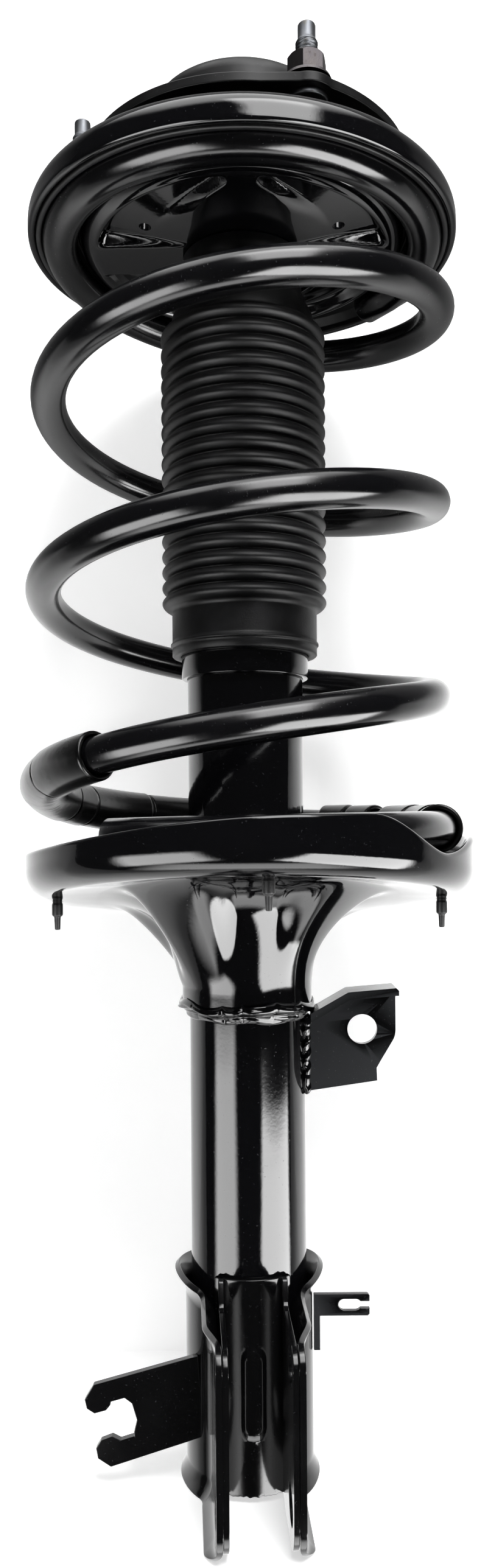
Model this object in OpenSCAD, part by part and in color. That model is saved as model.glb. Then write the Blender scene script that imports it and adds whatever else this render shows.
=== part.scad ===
// MacPherson strut: top mount, steering bearing, spring seats, coil spring, boot, damper and brackets.
// Millimetres. +Z runs up the strut. The origin is the centre of the stud circle, on the face that
// meets the body. The damper's axis stands stud_offset to the +X side of it. The knuckle flanges
// point to -Y, and azimuths below are counted from -Y towards +X, unless they say otherwise.

/* [Top mount] */
// Thickness of the mount plate
plate_t = 3.5; // [2.5:0.1:4]
// Radius of the plate's round body
plate_r = 62; // [60:0.5:65]
// Radius of the plate's broad side, between the near and the hidden stud
side_r = 66; // [65:0.2:66.6]
// Diameter of the stud circle
stud_pcd = 118; // [112:0.5:122]
// Distance from the stud circle's centre to the damper's axis
stud_offset = 4.8; // [0:0.1:7]
// Azimuth of the first stud
stud_azimuth = 28.5; // [-60:0.5:60]
// Diameter of a stud's thread
stud_d = 8; // [6:1:10]
// Height of a stud over the mounting face
stud_h = 23; // [20:0.5:28]
// Outer radius of the dome
dome_r = 36.5; // [33:0.5:38]
// Height of the dome over the mounting face
dome_h = 25.5; // [22:0.5:30]
// Wall of the dome
dome_wall = 3; // [2:0.1:4]
// Radius of the opening in the dome's top
dome_mouth_r = 18; // [16:0.5:22]
// Outer radius of the lower pan
pan_r = 44; // [40:0.5:46]
// Depth of the lower pan under the plate
pan_depth = 17.5; // [15:0.5:20]

/* [Steering bearing] */
// Outer radius of the races
race_r = 30; // [28:0.5:31]
// Radius of the ball track
track_r = 25; // [24:0.5:26]
// Ball diameter
ball_d = 4.8; // [4:0.1:5]
// Number of balls
ball_count = 20; // [12:1:24]
// Thickness of a race
race_t = 3.5; // [3:0.1:4]

/* [Upper seat] */
// Thickness of the upper seat's sheet
upper_sheet = 3; // [2:0.1:3.5]
// Outer radius of the upper seat
upper_r = 84.3; // [83:0.1:90]
// Radius of the disc inside the coil
disc_r = 58; // [54:0.5:59]
// Depth of the pressed pockets
pocket_h = 5; // [3:0.5:7]
// Half width of a radial rib between two pockets
rib_half_w = 11; // [8:0.5:14]
// Thickness of the upper isolator over the coil
isolator_t = 4; // [3:0.5:5]

/* [Spring] */
// Wire diameter
wire_d = 13.6; // [12:0.1:14.4]
// Radius of the coil at the wire's centre
coil_r = 76.8; // [75:0.1:80]
// Radius of the closed top coil at the wire's centre
top_coil_r = 72; // [70.5:0.1:72.5]
// Height of the fitted spring, between the end coils' wire centres
spring_h = 233; // [200:1:260]
// Number of turns
spring_turns = 4.41; // [4.3:0.01:4.6]
// Polar angle of the lower wire end, from +X towards +Y
spring_start = -118; // [-150:1:-110]

// Sideways bow of the free coils, away from the link bracket
coil_bow = 2.6; // [0:0.1:3]

/* [Sleeves] */
// Outer diameter of the rubber sleeves on the lowest coil
sleeve_d = 19; // [18:0.5:19.6]
// Room between the wire and a sleeve's bore
sleeve_room = 0.8; // [0.6:0.1:1.2]

/* [Boot and bump stop] */
// Depth of the folds between the boot's ribs
boot_fold = 3.8; // [2:0.1:6]
// Wall of the boot
boot_wall = 1.6; // [1.2:0.1:2]
// Number of ribs
boot_ribs = 18; // [12:1:24]
// Room between the tube's cap and the boot's collar
boot_room = 2.1; // [1:0.1:3]
// Radius of the boot's neck
boot_neck_r = 23.6; // [23:0.1:25]
// Outer radius of the bump stop
bump_r = 18; // [15:0.5:18.5]
// Bump travel of the strut
bump_travel = 85; // [60:1:90]

/* [Tube and rod] */
// Outer diameter of the strut tube
tube_d = 46; // [40:0.5:47]
// Wall of the strut tube
tube_wall = 2.5; // [2:0.1:3]
// Depth of the tube's top under the mounting face
tube_top = 188; // [186:1:192]
// Length of the strut tube
tube_len = 327; // [320:1:340]
// Rod diameter
rod_d = 20; // [16:0.5:22]
// Diameter of the rod's threaded end
rod_thread_d = 14; // [10:0.5:14]
// Bore of the pressure tube
bore_d = 30; // [27:0.5:31]
// Wall of the pressure tube
bore_wall = 1.5; // [1:0.1:2]

/* [Lower seat] */
// Thickness of the lower seat's sheet
lower_sheet = 2.8; // [2:0.1:3.2]
// Outer radius of the lower seat
lower_r = 88.2; // [87:0.1:94]
// Offset of the pan from the damper's axis
pan_shift = 1.2; // [0:0.1:1.5]
// Depth of the seat collar's lower edge under the mounting face
seat_collar_low = 333; // [325:1:345]
// Number of flutes in the funnel
flute_count = 4; // [3:1:6]
// Share of the funnel's flare that a flute takes away
flute_depth = 0.5; // [0.2:0.05:0.6]
// Azimuth of a flute's valley
flute_azimuth = 7; // [-20:1:20]
// Height from the near floor to the near rim
near_wall_h = 20.6; // [16:0.1:24]

/* [Knuckle bracket] */
// Thickness of the knuckle bracket's sheet
knuckle_t = 2.3; // [2:0.1:3]
// Thickness of the liner's sheet
liner_t = 2.1; // [1.8:0.1:2.6]
// Gap between the liner's two legs
flange_gap = 22.2; // [18:0.2:26]
// Reach of the flanges from the damper's axis
flange_reach = 65; // [60:0.5:75]
// Turn of the flanges about the damper's axis
flange_yaw = 3.4; // [-10:0.2:10]
// Diameter of the knuckle bolt holes
bolt_hole_d = 14.2; // [12.2:0.1:14.6]
// Reach of the bolt holes from the damper's axis
bolt_reach = 53; // [50:0.5:54]
// Distance between the bolt holes
bolt_spacing = 49; // [44:0.5:52]
// Depth of the lower bolt hole under the mounting face
lower_bolt_z = 500.5; // [496:0.5:506]

/* [Side brackets] */
// Thickness of the link and hose brackets
side_t = 3; // [2:0.1:4]
// Diameter of the link bracket's hole
link_hole_d = 11.7; // [10:0.1:13]
// Depth of the link bracket's upper lip
link_lip = 14; // [8:0.5:18]
// Thickness of the sensor wire bracket
sensor_t = 2; // [1.5:0.1:3]

/* [Clearances] */
// Running clearance of the rod and the piston
run_gap = 0.05; // [0.02:0.01:0.08]
// Gap between pieces of one body that only seat on each other
seat_gap = 0.1; // [0.05:0.01:0.2]
// Gap between neighbours that move apart
move_gap = 0.3; // [0.3:0.05:0.6]

/* [Hidden] */
$fn = 64;

painted = "#17181a";
pressed = "#101113";
rubber = "#232325";
zinc = "#b9bcc0";
steel = "#8e9296";
polymer = "#3a3b3e";

// Levels, from the mounting face down
wire_r = wire_d / 2;
stud_r = stud_d / 2;
tube_r = tube_d / 2;
rod_r = rod_d / 2;
thread_r = rod_thread_d / 2;
pan_low_z = -plate_t - pan_depth;
ball_r = ball_d / 2;
groove = 0.9;
upper_race_z = pan_low_z - race_t;
ball_z = upper_race_z - (ball_r - groove);
lower_race_z = ball_z - (ball_r - groove);
disc_top_z = lower_race_z - race_t;
disc_low_z = disc_top_z - upper_sheet;
top_coil_z = disc_top_z;
crown_in_z = top_coil_z + wire_r + isolator_t;
crown_z = crown_in_z + upper_sheet;
low_coil_z = top_coil_z - spring_h;
core_r = 13;
hub_bore_r = core_r + 3;
core_low_z = disc_low_z - 3;
washer_t = 2.5;
rod_shoulder_z = core_low_z - washer_t;
tube_top_z = -tube_top;
cap_t = 2;
cap_wall = 2.1;
cap_out_r = tube_r + seat_gap + cap_wall;
bump_low_z = tube_top_z + cap_t + bump_travel + 0.5;
tube_low_z = tube_top_z - tube_len;

// ---------- shared shapes ----------

// Puts a piece of the damper on its axis.
module on_axis() { translate([stud_offset, 0, 0]) children(); }

// Smooth step from 0 at a to 1 at b.
function ease(a, b, x) = let (u = min(max((x - a) / (b - a), 0), 1)) u * u * (3 - 2 * u);

// Points of an arc about c.
function arc(c, r, a0, a1, n) = [for (i = [0:n]) c + r * [cos(a0 + (a1 - a0) * i / n),
    sin(a0 + (a1 - a0) * i / n)]];

function reversed(list) = [for (i = [len(list) - 1:-1:0]) list[i]];

// Direction of a path at point i, from its neighbours.
function heading(p, i) = let (d = p[min(i + 1, len(p) - 1)] - p[max(i - 1, 0)]) d / norm(d);

// A flat path moved to its left by t, which gives a sheet's other skin.
function beside(p, t) = [for (i = [0:len(p) - 1]) let (d = heading(p, i)) p[i] + t * [-d[1], d[0]]];

// The closed outline of a sheet that lies between a path and its offset.
function sheet(p, t) = concat(p, reversed(beside(p, t)));

// A solid through closed loops of one even length; wrapped joins the last loop to the first.
module skin(loops, wrapped) {
    m = len(loops[0]);
    n = len(loops);
    last = wrapped ? n - 1 : n - 2;
    sides = [for (i = [0:last]) for (k = [0:m - 1])
        let (a = i * m + k, b = i * m + (k + 1) % m,
            c = ((i + 1) % n) * m + (k + 1) % m, d = ((i + 1) % n) * m + k)
        each [[a, b, c], [a, c, d]]];
    ends = wrapped ? [] : [for (k = [0:m / 2 - 2]) let (o = (n - 1) * m, j = m - 2 - k)
        each [[k, j, k + 1], [k, j + 1, j], [o + k, o + k + 1, o + j], [o + k, o + j, o + j + 1]]];
    polyhedron(points = [for (l = loops) each l], faces = concat(sides, ends), convexity = 8);
}

module ring(r_in, r_out, z0, z1) {
    translate([0, 0, z0]) difference() {
        cylinder(r = r_out, h = z1 - z0);
        translate([0, 0, -1]) cylinder(r = r_in, h = z1 - z0 + 2);
    }
}

// ---------- top mount ----------

// Places of the studs, seen from the damper's axis.
function stud_place(i) = let (a = stud_azimuth - 90 + 120 * i)
    [stud_pcd / 2 * cos(a) - stud_offset, stud_pcd / 2 * sin(a)];

lobe_r = stud_r + 6.3;
flank_lap = 0.4;

// A lobe round a stud, with flanks that run just inside the tangents to the plate's round body.
module lobe(p) {
    reach = norm(p);
    b = acos((plate_r - lobe_r) / reach);
    near = plate_r - flank_lap;
    far = lobe_r - flank_lap;
    rotate(atan2(p[1], p[0])) union() {
        translate([reach, 0]) circle(r = lobe_r);
        polygon([near * [cos(b), sin(b)], [reach, 0] + far * [cos(b), sin(b)],
            [reach, 0] + far * [cos(b), -sin(b)], near * [cos(b), -sin(b)]]);
    }
}

side_lap = 4.2;

// The plate's broad side: a wider arc about the damper's axis, whose ends lie inside two lobes.
module broad_side() {
    intersection() {
        circle(r = side_r, $fn = 96);
        translate([-stud_offset, 0]) rotate(stud_azimuth - 30)
            translate([stud_pcd / 4 + side_lap, -side_r]) square([side_r, 2 * side_r]);
    }
}

dome_round = 6;
dome_foot = 3;

// Half section of the dome: its foot, wall, rounded shoulder and turned-in mouth.
module dome_section() {
    path = concat([[dome_r + dome_foot, 0]],
        arc([dome_r + dome_foot, dome_foot], dome_foot, 255, 180, 5),
        arc([dome_r - dome_round, dome_h - dome_round], dome_round, 0, 90, 8),
        [[dome_mouth_r, dome_h]]);
    inner = concat([[dome_mouth_r, dome_h - dome_wall]],
        arc([dome_r - dome_round, dome_h - dome_round], dome_round - dome_wall, 90, 0, 6),
        [[dome_r - dome_wall, -plate_t], [dome_r + dome_foot, -plate_t]]);
    polygon(concat(path, inner));
}

module mount_plate() {
    color(painted) on_axis() union() {
        rotate_extrude($fn = 96) dome_section();
        translate([0, 0, -plate_t]) linear_extrude(plate_t) difference() {
            union() {
                circle(r = plate_r, $fn = 96);
                for (i = [0:2]) lobe(stud_place(i));
                broad_side();
            }
            circle(r = dome_r + dome_foot / 2);
            for (i = [0:2]) translate(stud_place(i)) circle(r = stud_r + knurl_over + seat_gap);
        }
    }
}

head_r = 7.6;
head_t = 2.2;
dog_h = 5.5;
dog_r = stud_r - 0.8;
collar_over = 0.25;
knurl_over = 0.6;
collar_h = 2;

// Pressed-in studs: round head under the plate, knurled shank in it, a collar that centres the
// mount in the body's hole, the thread, and a narrower dog point.
module tower_studs() {
    color(zinc) on_axis() for (i = [0:2]) translate(stud_place(i)) rotate_extrude() polygon([
        [0, -plate_t - head_t], [head_r - 0.8, -plate_t - head_t], [head_r, -plate_t - head_t + 0.8],
        [head_r, -plate_t], [stud_r + knurl_over, -plate_t], [stud_r + knurl_over, 0],
        [stud_r + collar_over, 0], [stud_r + collar_over, collar_h], [stud_r, collar_h],
        [stud_r, stud_h - dog_h - 1.2], [dog_r, stud_h - dog_h], [dog_r, stud_h - 0.8],
        [dog_r - 0.8, stud_h], [0, stud_h]]);
}

nut_af = stud_d + 4.6;
nut_h = 8.8;
nut_flange_r = stud_r + 5;

// Flange nuts, run down to leave room for the body's sheet under them.
module stud_nuts() {
    color(zinc) on_axis() for (i = [0:2]) translate(concat(stud_place(i), collar_h)) difference() {
        union() {
            cylinder(r1 = nut_flange_r, r2 = nut_flange_r - 0.5, h = 1.2);
            translate([0, 0, 1.2]) cylinder(r1 = nut_flange_r - 0.5, r2 = nut_af / 2 - 0.5, h = 1.6);
            intersection() {
                rotate(17) cylinder(r = nut_af / 2 / cos(30), h = nut_h, $fn = 6);
                cylinder(r1 = nut_af / 2 / cos(30) + 6, r2 = nut_af / 2 + 0.1, h = nut_h);
            }
        }
        translate([0, 0, -1]) cylinder(r = stud_r + seat_gap / 2, h = nut_h + 2);
    }
}

pan_sheet = 2.5;
pan_mouth_r = 19;

module mount_pan() {
    path = [[pan_r + 3.5, -plate_t - pan_sheet], [pan_r, -plate_t - pan_sheet],
        [pan_r - 2, pan_low_z + 3], [pan_r - 5, pan_low_z], [pan_mouth_r, pan_low_z]];
    color(painted) on_axis() rotate_extrude() polygon(sheet(path, -pan_sheet));
}

module mount_bush() {
    out_r = dome_r - dome_wall - seat_gap;
    low = pan_low_z + pan_sheet + seat_gap;
    top = dome_h - dome_wall - 6;
    color(rubber) on_axis() rotate_extrude() polygon([
        [core_r, low], [pan_r - 9, low], [pan_r - 7.5, low + 3], [out_r, low + 7],
        [out_r, top - 5], [out_r - 3, top - 1], [out_r - 6, top - 2], [rod_washer_r + 4, core_top_z - 1],
        [rod_washer_r, core_top_z - 3], [core_r, core_top_z - 3]]);
}

core_top_z = 6;

module mount_core() {
    color(steel) on_axis() ring(thread_r + seat_gap, core_r, core_low_z, core_top_z);
}

rod_nut_h = 12;
rod_washer_r = 16.5;
rod_end_z = core_top_z + rod_nut_h + 5;

// The rod's flange nut on its washer.
module rod_nut() {
    color(zinc) on_axis() translate([0, 0, core_top_z]) difference() {
        union() {
            cylinder(r = rod_washer_r, h = 2.4);
            translate([0, 0, 2.4]) cylinder(r1 = thread_r + 6.5, r2 = thread_r + 4.5, h = 2);
            translate([0, 0, 2.4]) cylinder(r = thread_r + 5, h = rod_nut_h - 2.4, $fn = 6);
        }
        translate([0, 0, -1]) cylinder(r = thread_r + seat_gap / 2, h = rod_nut_h + 2);
    }
}

// ---------- steering bearing ----------

module bearing_upper_race() {
    color(polymer) on_axis() difference() {
        ring(core_r + move_gap + 6, race_r, upper_race_z, pan_low_z);
        translate([0, 0, ball_z]) rotate_extrude() translate([track_r, 0]) circle(r = ball_r + 0.1, $fn = 24);
    }
}

module bearing_balls() {
    color(zinc) on_axis() for (i = [0:ball_count - 1]) rotate(i * 360 / ball_count)
        translate([track_r, 0, ball_z]) sphere(r = ball_r, $fn = 24);
}

module bearing_lower_race() {
    color(polymer) on_axis() difference() {
        ring(hub_bore_r + 1, race_r, disc_top_z, lower_race_z);
        translate([0, 0, ball_z]) rotate_extrude() translate([track_r, 0]) circle(r = ball_r + 0.03, $fn = 24);
    }
}

// ---------- upper spring seat ----------

// Upper skin of the seat's section, from the hub out over the coil and down the rim.
function upper_seat_path() = concat(
    [[hub_bore_r, disc_top_z], [disc_r, disc_top_z], [disc_r + 2.6, disc_top_z + 1.6],
        [disc_r + 5, crown_z - 5], [disc_r + 6.6, crown_z - 1.5], [disc_r + 9, crown_z]],
    arc([upper_r - 5.5, crown_z - 5.5], 5.5, 90, 0, 6), [[upper_r, top_coil_z]]);

// D-shaped pocket fields between the radial ribs, grown by m.
module pocket_fields(m) {
    difference() {
        circle(r = disc_r - upper_sheet + m);
        circle(r = race_r + 1 + upper_sheet - m);
        for (a = [0, 90]) rotate(a) square([4 * disc_r, 2 * (rib_half_w - m)], center = true);
    }
}

seat_hole_d = 4.7;

module upper_spring_seat() {
    color(pressed) on_axis() difference() {
        union() {
            rotate_extrude($fn = 96) polygon(sheet(upper_seat_path(), -upper_sheet));
            translate([0, 0, disc_top_z]) linear_extrude(pocket_h) pocket_fields(upper_sheet);
        }
        translate([0, 0, disc_low_z - 1]) linear_extrude(pocket_h + 1) pocket_fields(0);
        for (side = [-1, 1]) rotate(-90 + side * 62) translate([race_r + 12, 0, disc_low_z - 1])
            cylinder(d = seat_hole_d, h = 2 * pocket_h + 5);
    }
}

// Rubber between the closed top coil and the seat, with a lip at the rim.
module upper_isolator() {
    in_r = upper_r - upper_sheet;
    wire_out = top_coil_r + wire_r + move_gap;
    wire_in = top_coil_r - wire_r - move_gap;
    top = crown_in_z - seat_gap;
    k = wire_r / 6.8; // the hollow keeps its form round any wire
    color(rubber) on_axis() rotate_extrude($fn = 96) polygon([
        [in_r - seat_gap, top_coil_z - 0.6], [in_r - seat_gap, top - 4.5], [in_r - 2.8, top],
        [disc_r + 10, top], [disc_r + 7.6, top - 4], [wire_in, top_coil_z + 4],
        [wire_in + 1.6 * k, top_coil_z + wire_r - 1.2 * k], [top_coil_r, top_coil_z + wire_r + move_gap],
        [wire_out - 2.2 * k, top_coil_z + wire_r - 1.6 * k], [wire_out, top_coil_z + 2],
        [wire_out, top_coil_z - 0.6]]);
}

cap_ring_r = boot_neck_r - boot_wall - seat_gap;
boot_collar_r = cap_out_r + boot_room + boot_wall;
boot_valley_r = boot_collar_r + 0.1;
boot_rib_r = boot_valley_r + boot_fold;
cap_ring_h = 12;

// Ring under the hub that the boot's neck grips.
module boot_cap() {
    color(polymer) on_axis() union() {
        ring(hub_bore_r + 0.5, cap_ring_r, disc_low_z - 1.6, disc_low_z);
        ring(cap_ring_r - 1.5, cap_ring_r, disc_low_z - cap_ring_h, disc_low_z - 1.6);
    }
}

rib_top_z = disc_low_z - 30;
collar_top_z = tube_top_z + 13;
collar_low_z = tube_top_z - 5;
outer_steps = 5;
inner_steps = 2;

// Skin of the boot with n points to a rib: neck, ribs with round crests and sharp valleys, collar.
function boot_skin(n) = let (pitch = (rib_top_z - collar_top_z) / boot_ribs) concat(
    [[boot_neck_r, disc_low_z], [boot_neck_r, disc_low_z - 14], [boot_valley_r - 1, rib_top_z + 6],
        [boot_valley_r, rib_top_z + 1]],
    [for (i = [0:boot_ribs * n]) let (u = i / n)
        [boot_valley_r + (boot_rib_r - boot_valley_r) * pow(abs(sin(180 * u)), 0.6),
            rib_top_z - pitch * u]],
    [[boot_collar_r, collar_top_z - 1.5], [boot_collar_r, collar_low_z + 6],
        [boot_collar_r + 0.7, collar_low_z + 5.4], [boot_collar_r + 0.7, collar_low_z + 3.6],
        [boot_collar_r, collar_low_z + 3], [boot_collar_r, collar_low_z]]);

module dust_boot() {
    inner = [for (p = boot_skin(inner_steps)) [p[0] - boot_wall, p[1]]];
    color(rubber) on_axis() union() {
        rotate_extrude($fn = 48) polygon(concat(boot_skin(outer_steps), reversed(inner)));
        ring(cap_out_r + move_gap, boot_collar_r - boot_wall / 2, collar_low_z, collar_low_z + 1.6);
    }
}

// ---------- rod, piston and bump stop ----------

module bump_washer() {
    color(steel) on_axis() ring(thread_r + seat_gap, bump_r + 1, rod_shoulder_z, core_low_z);
}

bump_waists = 3;

// Cellular bump stop with waists between its rolls.
module bump_stop() {
    top = rod_shoulder_z;
    length = top - bump_low_z;
    steps = 8 * bump_waists;
    color("#4a4636") on_axis() rotate_extrude() polygon(concat(
        [[rod_r + seat_gap, top]],
        [for (i = [0:steps]) let (u = i / steps)
            [bump_r - 4 * u - 2 * pow(sin(180 * bump_waists * u), 2), top - length * u]],
        [[rod_r + seat_gap, bump_low_z]]));
}

guide_h = 16;
seal_h = 6;
lip_t = 2;
seal_top_z = tube_top_z - lip_t - seat_gap;
guide_top_z = seal_top_z - seal_h - seat_gap;
guide_low_z = guide_top_z - guide_h;
rebound_h = 8;
rebound_top_z = guide_low_z - 6;
piston_top_z = rebound_top_z - rebound_h;
piston_h = 20;
piston_low_z = piston_top_z - piston_h;
tail_r = thread_r - 1.5;

module piston_rod() {
    color("#c9ccd0") on_axis() rotate_extrude() polygon([
        [0, piston_low_z - 9], [tail_r - 1, piston_low_z - 9], [tail_r, piston_low_z - 8],
        [tail_r, piston_top_z], [rod_r, piston_top_z], [rod_r, rod_shoulder_z],
        [thread_r, rod_shoulder_z], [thread_r, rod_end_z - 1.2], [thread_r - 1.2, rod_end_z],
        [0, rod_end_z]]);
}

module rebound_stop() {
    color(polymer) on_axis() ring(rod_r + seat_gap, bore_d / 2 - 1, piston_top_z, rebound_top_z);
}

piston_r = bore_d / 2 - run_gap;
band_t = 1;

module piston() {
    color(steel) on_axis() difference() {
        ring(tail_r + seat_gap / 2, piston_r, piston_low_z, piston_top_z);
        ring(piston_r - band_t, piston_r + 1, piston_low_z + 4, piston_top_z - 6);
        for (i = [0:5]) rotate(i * 60) translate([(tail_r + piston_r) / 2 - 0.4, 0, piston_low_z - 1])
            cylinder(r = 1.6, h = piston_h + 2);
    }
}

module piston_band() {
    color("#7a5c3a") on_axis() ring(piston_r - band_t + seat_gap / 2, piston_r,
        piston_low_z + 4 + seat_gap, piston_top_z - 6 - seat_gap);
}

module piston_nut() {
    color(zinc) on_axis() translate([0, 0, piston_low_z - 7]) difference() {
        cylinder(r = tail_r + 5, h = 7, $fn = 6);
        translate([0, 0, -1]) cylinder(r = tail_r + seat_gap / 2, h = 9);
    }
}

// ---------- coil spring ----------

// The wire climbs slowly on the closed lower end, then steadily, and lies level at the top.
rings_per_turn = 24;
wire_sides = 8;
end_slope = 0.02;
sweep_end = 360 * spring_turns;
low_closed = 158;
low_open = 313;
high_open = sweep_end - 320;
high_closed = sweep_end - 206;
free_slope = (spring_h - end_slope * (low_closed + low_open) / 2)
    / ((low_open - low_closed) / 2 + (high_open - low_open) + (high_closed - high_open) / 2);

// Height over the lower wire end after a sweep of s degrees: a ramp in slope at each end.
function climb(s) = let (
        a = min(max(s - low_closed, 0), low_open - low_closed),
        b = min(max(s - high_open, 0), high_closed - high_open))
    end_slope * min(s, low_closed) + end_slope * a
        + (free_slope - end_slope) * a * a / (2 * (low_open - low_closed))
        + free_slope * min(max(s - low_open, 0), high_open - low_open)
        + free_slope * (b - b * b / (2 * (high_closed - high_open)));

function wire_radius(s) = coil_r - (coil_r - top_coil_r) * ease(high_open - 70, high_open + 70, s);

// Sideways shift of the wire: none on the closed coils, the full bow between them.
function bow(s) = coil_bow * ease(20, low_open - 30, s) * (1 - ease(high_open - 540, high_open - 180, s));

function wire_at(s) = let (a = spring_start + s)
    [wire_radius(s) * cos(a) - bow(s), wire_radius(s) * sin(a), low_coil_z + climb(s)];

// The direction of the wire, and its two cross directions: outwards, and across.
function wire_dir(s) = let (d = wire_at(s + 1) - wire_at(s - 1)) d / norm(d);
function wire_out(s) = let (a = spring_start + s, t = wire_dir(s), o = [cos(a), sin(a), 0],
    p = o - (o * t) * t) p / norm(p);

// A ring of the wire or of a sleeve on it.
function wire_ring(s, r, sides) = let (o = wire_out(s), b = cross(o, wire_dir(s)), c = wire_at(s))
    [for (k = [0:sides - 1]) c + r * (cos(360 * k / sides) * o + sin(360 * k / sides) * b)];

function moved(list, v) = [for (p = list) p + v];

spring_steps = round(rings_per_turn * spring_turns);
spring_sweeps = [for (i = [0:spring_steps]) sweep_end * i / spring_steps];

// Least gap between wire stations that lie more than half a turn apart.
spring_gap = min([for (i = [0:spring_steps]) for (j = [i + 12:max(i + 12, spring_steps)])
    j <= spring_steps ? norm(wire_at(spring_sweeps[j]) - wire_at(spring_sweeps[i])) : 1000]) - wire_d;
echo(str("least gap of the spring to itself: ", spring_gap, " mm"));

// Each end runs on straight for one wire diameter, turned in so that it stays over the coil.
module coil_spring() {
    rings = [for (s = spring_sweeps) wire_ring(s, wire_r, wire_sides)];
    half_tail = 90 * wire_d / (PI * top_coil_r);
    first = moved(rings[0], -wire_d * wire_dir(-half_tail));
    last = moved(rings[spring_steps], wire_d * wire_dir(sweep_end + half_tail));
    color(painted) on_axis() skin(concat([first], rings, [last]), false);
}

// A run of sleeve pieces butted end to end on the wire, each [sweep, outer radius] at its stations.
module sleeve(stations) {
    sides = wire_sides;
    loops = [for (k = [0:sides - 1]) concat(
        [for (p = stations) wire_ring(p[0], p[1], sides)[k]],
        [for (p = reversed(stations)) wire_ring(p[0], wire_r + sleeve_room, sides)[k]])];
    color(rubber) on_axis() skin(reversed(loops), true);
}

sleeve_r = sleeve_d / 2;
joint_r = sleeve_r - 0.7;

// Stations of one run: full radius along each piece and a shallow groove at each joint.
function sleeve_run(joints) = [for (i = [0:len(joints) - 2])
    each [[joints[i] + 0.4, joint_r], [joints[i] + 0.8, sleeve_r],
        [(joints[i] + joints[i + 1]) / 2, sleeve_r],
        [joints[i + 1] - 0.8, sleeve_r], [joints[i + 1] - 0.4, joint_r]]];

left_joints = [213, 243, 271, 283, 305, 326, 349];
rear_joints = [103, 120, 136, 152];
rear_loose = [157, 168, 179];

module left_sleeve() { sleeve(sleeve_run(left_joints)); }

// The rear run has a separate, looser piece at its end.
module rear_sleeve() {
    sleeve(sleeve_run(rear_joints));
    sleeve(sleeve_run(rear_loose));
}

// ---------- lower spring seat ----------

corner_r = 13;
seat_steps = 72;
near_floor_z = low_coil_z - wire_r - move_gap - 3.2 - lower_sheet;
floor_tilt = 13;
collar_r = tube_r + seat_gap + lower_sheet;
collar_top = 9;
funnel_steps = 8;
floor_in_r = 60;
flare_r = 40.7;
ridge_lift = 0.2;
rim_drop = 14;
rim_rise = 5.5;

// Underside of the floor by azimuth: it falls away from the near side.
function floor_z(q) = near_floor_z - floor_tilt + floor_tilt * cos(q);

// Top of the rim: high in front, falling slowly on the left and steeply on the right.
function rim_z(q) = near_floor_z + near_wall_h
    - rim_drop * (1 - ease(-85, 12, q) * (1 - ease(36, 64, q)))
    + rim_rise * ease(62, 86, q) * (1 - ease(95, 125, q));

// The funnel's flare at an azimuth, as a cubic Bezier from the collar to the floor, before fluting.
function flare(q, t) = let (u = 1 - t, z0 = -seat_collar_low + collar_top, z1 = floor_z(q),
        p = [[collar_r, z0], [collar_r + 0.4, z0 + (0.2 + 0.18 * sin(q)) * (z1 - z0)],
            [flare_r - 2.6 * sin(q), z1 - 1], [floor_in_r, z1]])
    u * u * u * p[0] + 3 * u * u * t * p[1] + 3 * u * t * t * p[2] + t * t * t * p[3];

// Share of the flare that is left at a place: ridges stand out and the valleys between are drawn in.
function fluted(q, t) = let (w = (1 + cos(flute_count * (q - flute_azimuth))) / 2)
    1 - sin(180 * t) * (flute_depth * w - ridge_lift * (1 - w));

// Level line across the tilted floor, cut so that no facet is longer than 15 mm.
function level(r0, r1, z) = let (n = ceil((r1 - r0) / 15)) [for (i = [0:n]) [r0 + (r1 - r0) * i / n, z]];

function seat_path(q) = let (f = floor_z(q)) concat(
    [[collar_r, -seat_collar_low], [collar_r, -seat_collar_low + collar_top]],
    [for (i = [1:funnel_steps]) let (t = i / (funnel_steps + 1), p = flare(q, t))
        [collar_r + (p[0] - collar_r) * fluted(q, t), p[1]]],
    level(floor_in_r, lower_r - corner_r - 1, f),
    arc([lower_r - corner_r, f + corner_r], corner_r, -72, 0, 3), [[lower_r, rim_z(q)]]);

// A loop of flat points put up at an azimuth.
function stood(path, q) = [for (p = path) [p[0] * sin(q), -p[0] * cos(q), p[1]]];

// Shifts the pan sideways and leaves the funnel's neck on the damper's axis.
function in_pan(loop) = [for (p = loop) p + [pan_shift * ease(collar_r, floor_in_r, norm([p[0], p[1]])), 0, 0]];

module lower_spring_seat() {
    color(pressed) on_axis() difference() {
        skin([for (i = [0:seat_steps - 1]) let (q = i * 360 / seat_steps - 180)
            in_pan(stood(sheet(seat_path(q), lower_sheet), q))], true);
        for (q = peg_azimuths) translate([pan_shift, 0, 0] + stood([[peg_circle_r, floor_z(q) - 4]], q)[0])
            cylinder(r = peg_r + 0.2, h = 12, $fn = 24);
    }
}

pad_in_r = 64;
pad_steps = 72;
pad_cap_z = low_coil_z - wire_r - 2 * seat_gap;
peg_r = 1.9;
peg_azimuths = [-90, 4.6, 90, 180];
peg_circle_r = 77;
pad_corner_r = corner_r - lower_sheet - 6 * seat_gap;

// Top of the rubber pad: it follows the lowest coil and stops under the rising one.
function pad_top(q) = let (s = (q - 90 - spring_start + 720) % 360,
        lift = wire_r + (sleeve_r - wire_r) * ease(68, 96, s))
    min(low_coil_z + climb(s) - lift - seat_gap, pad_cap_z);

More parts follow.
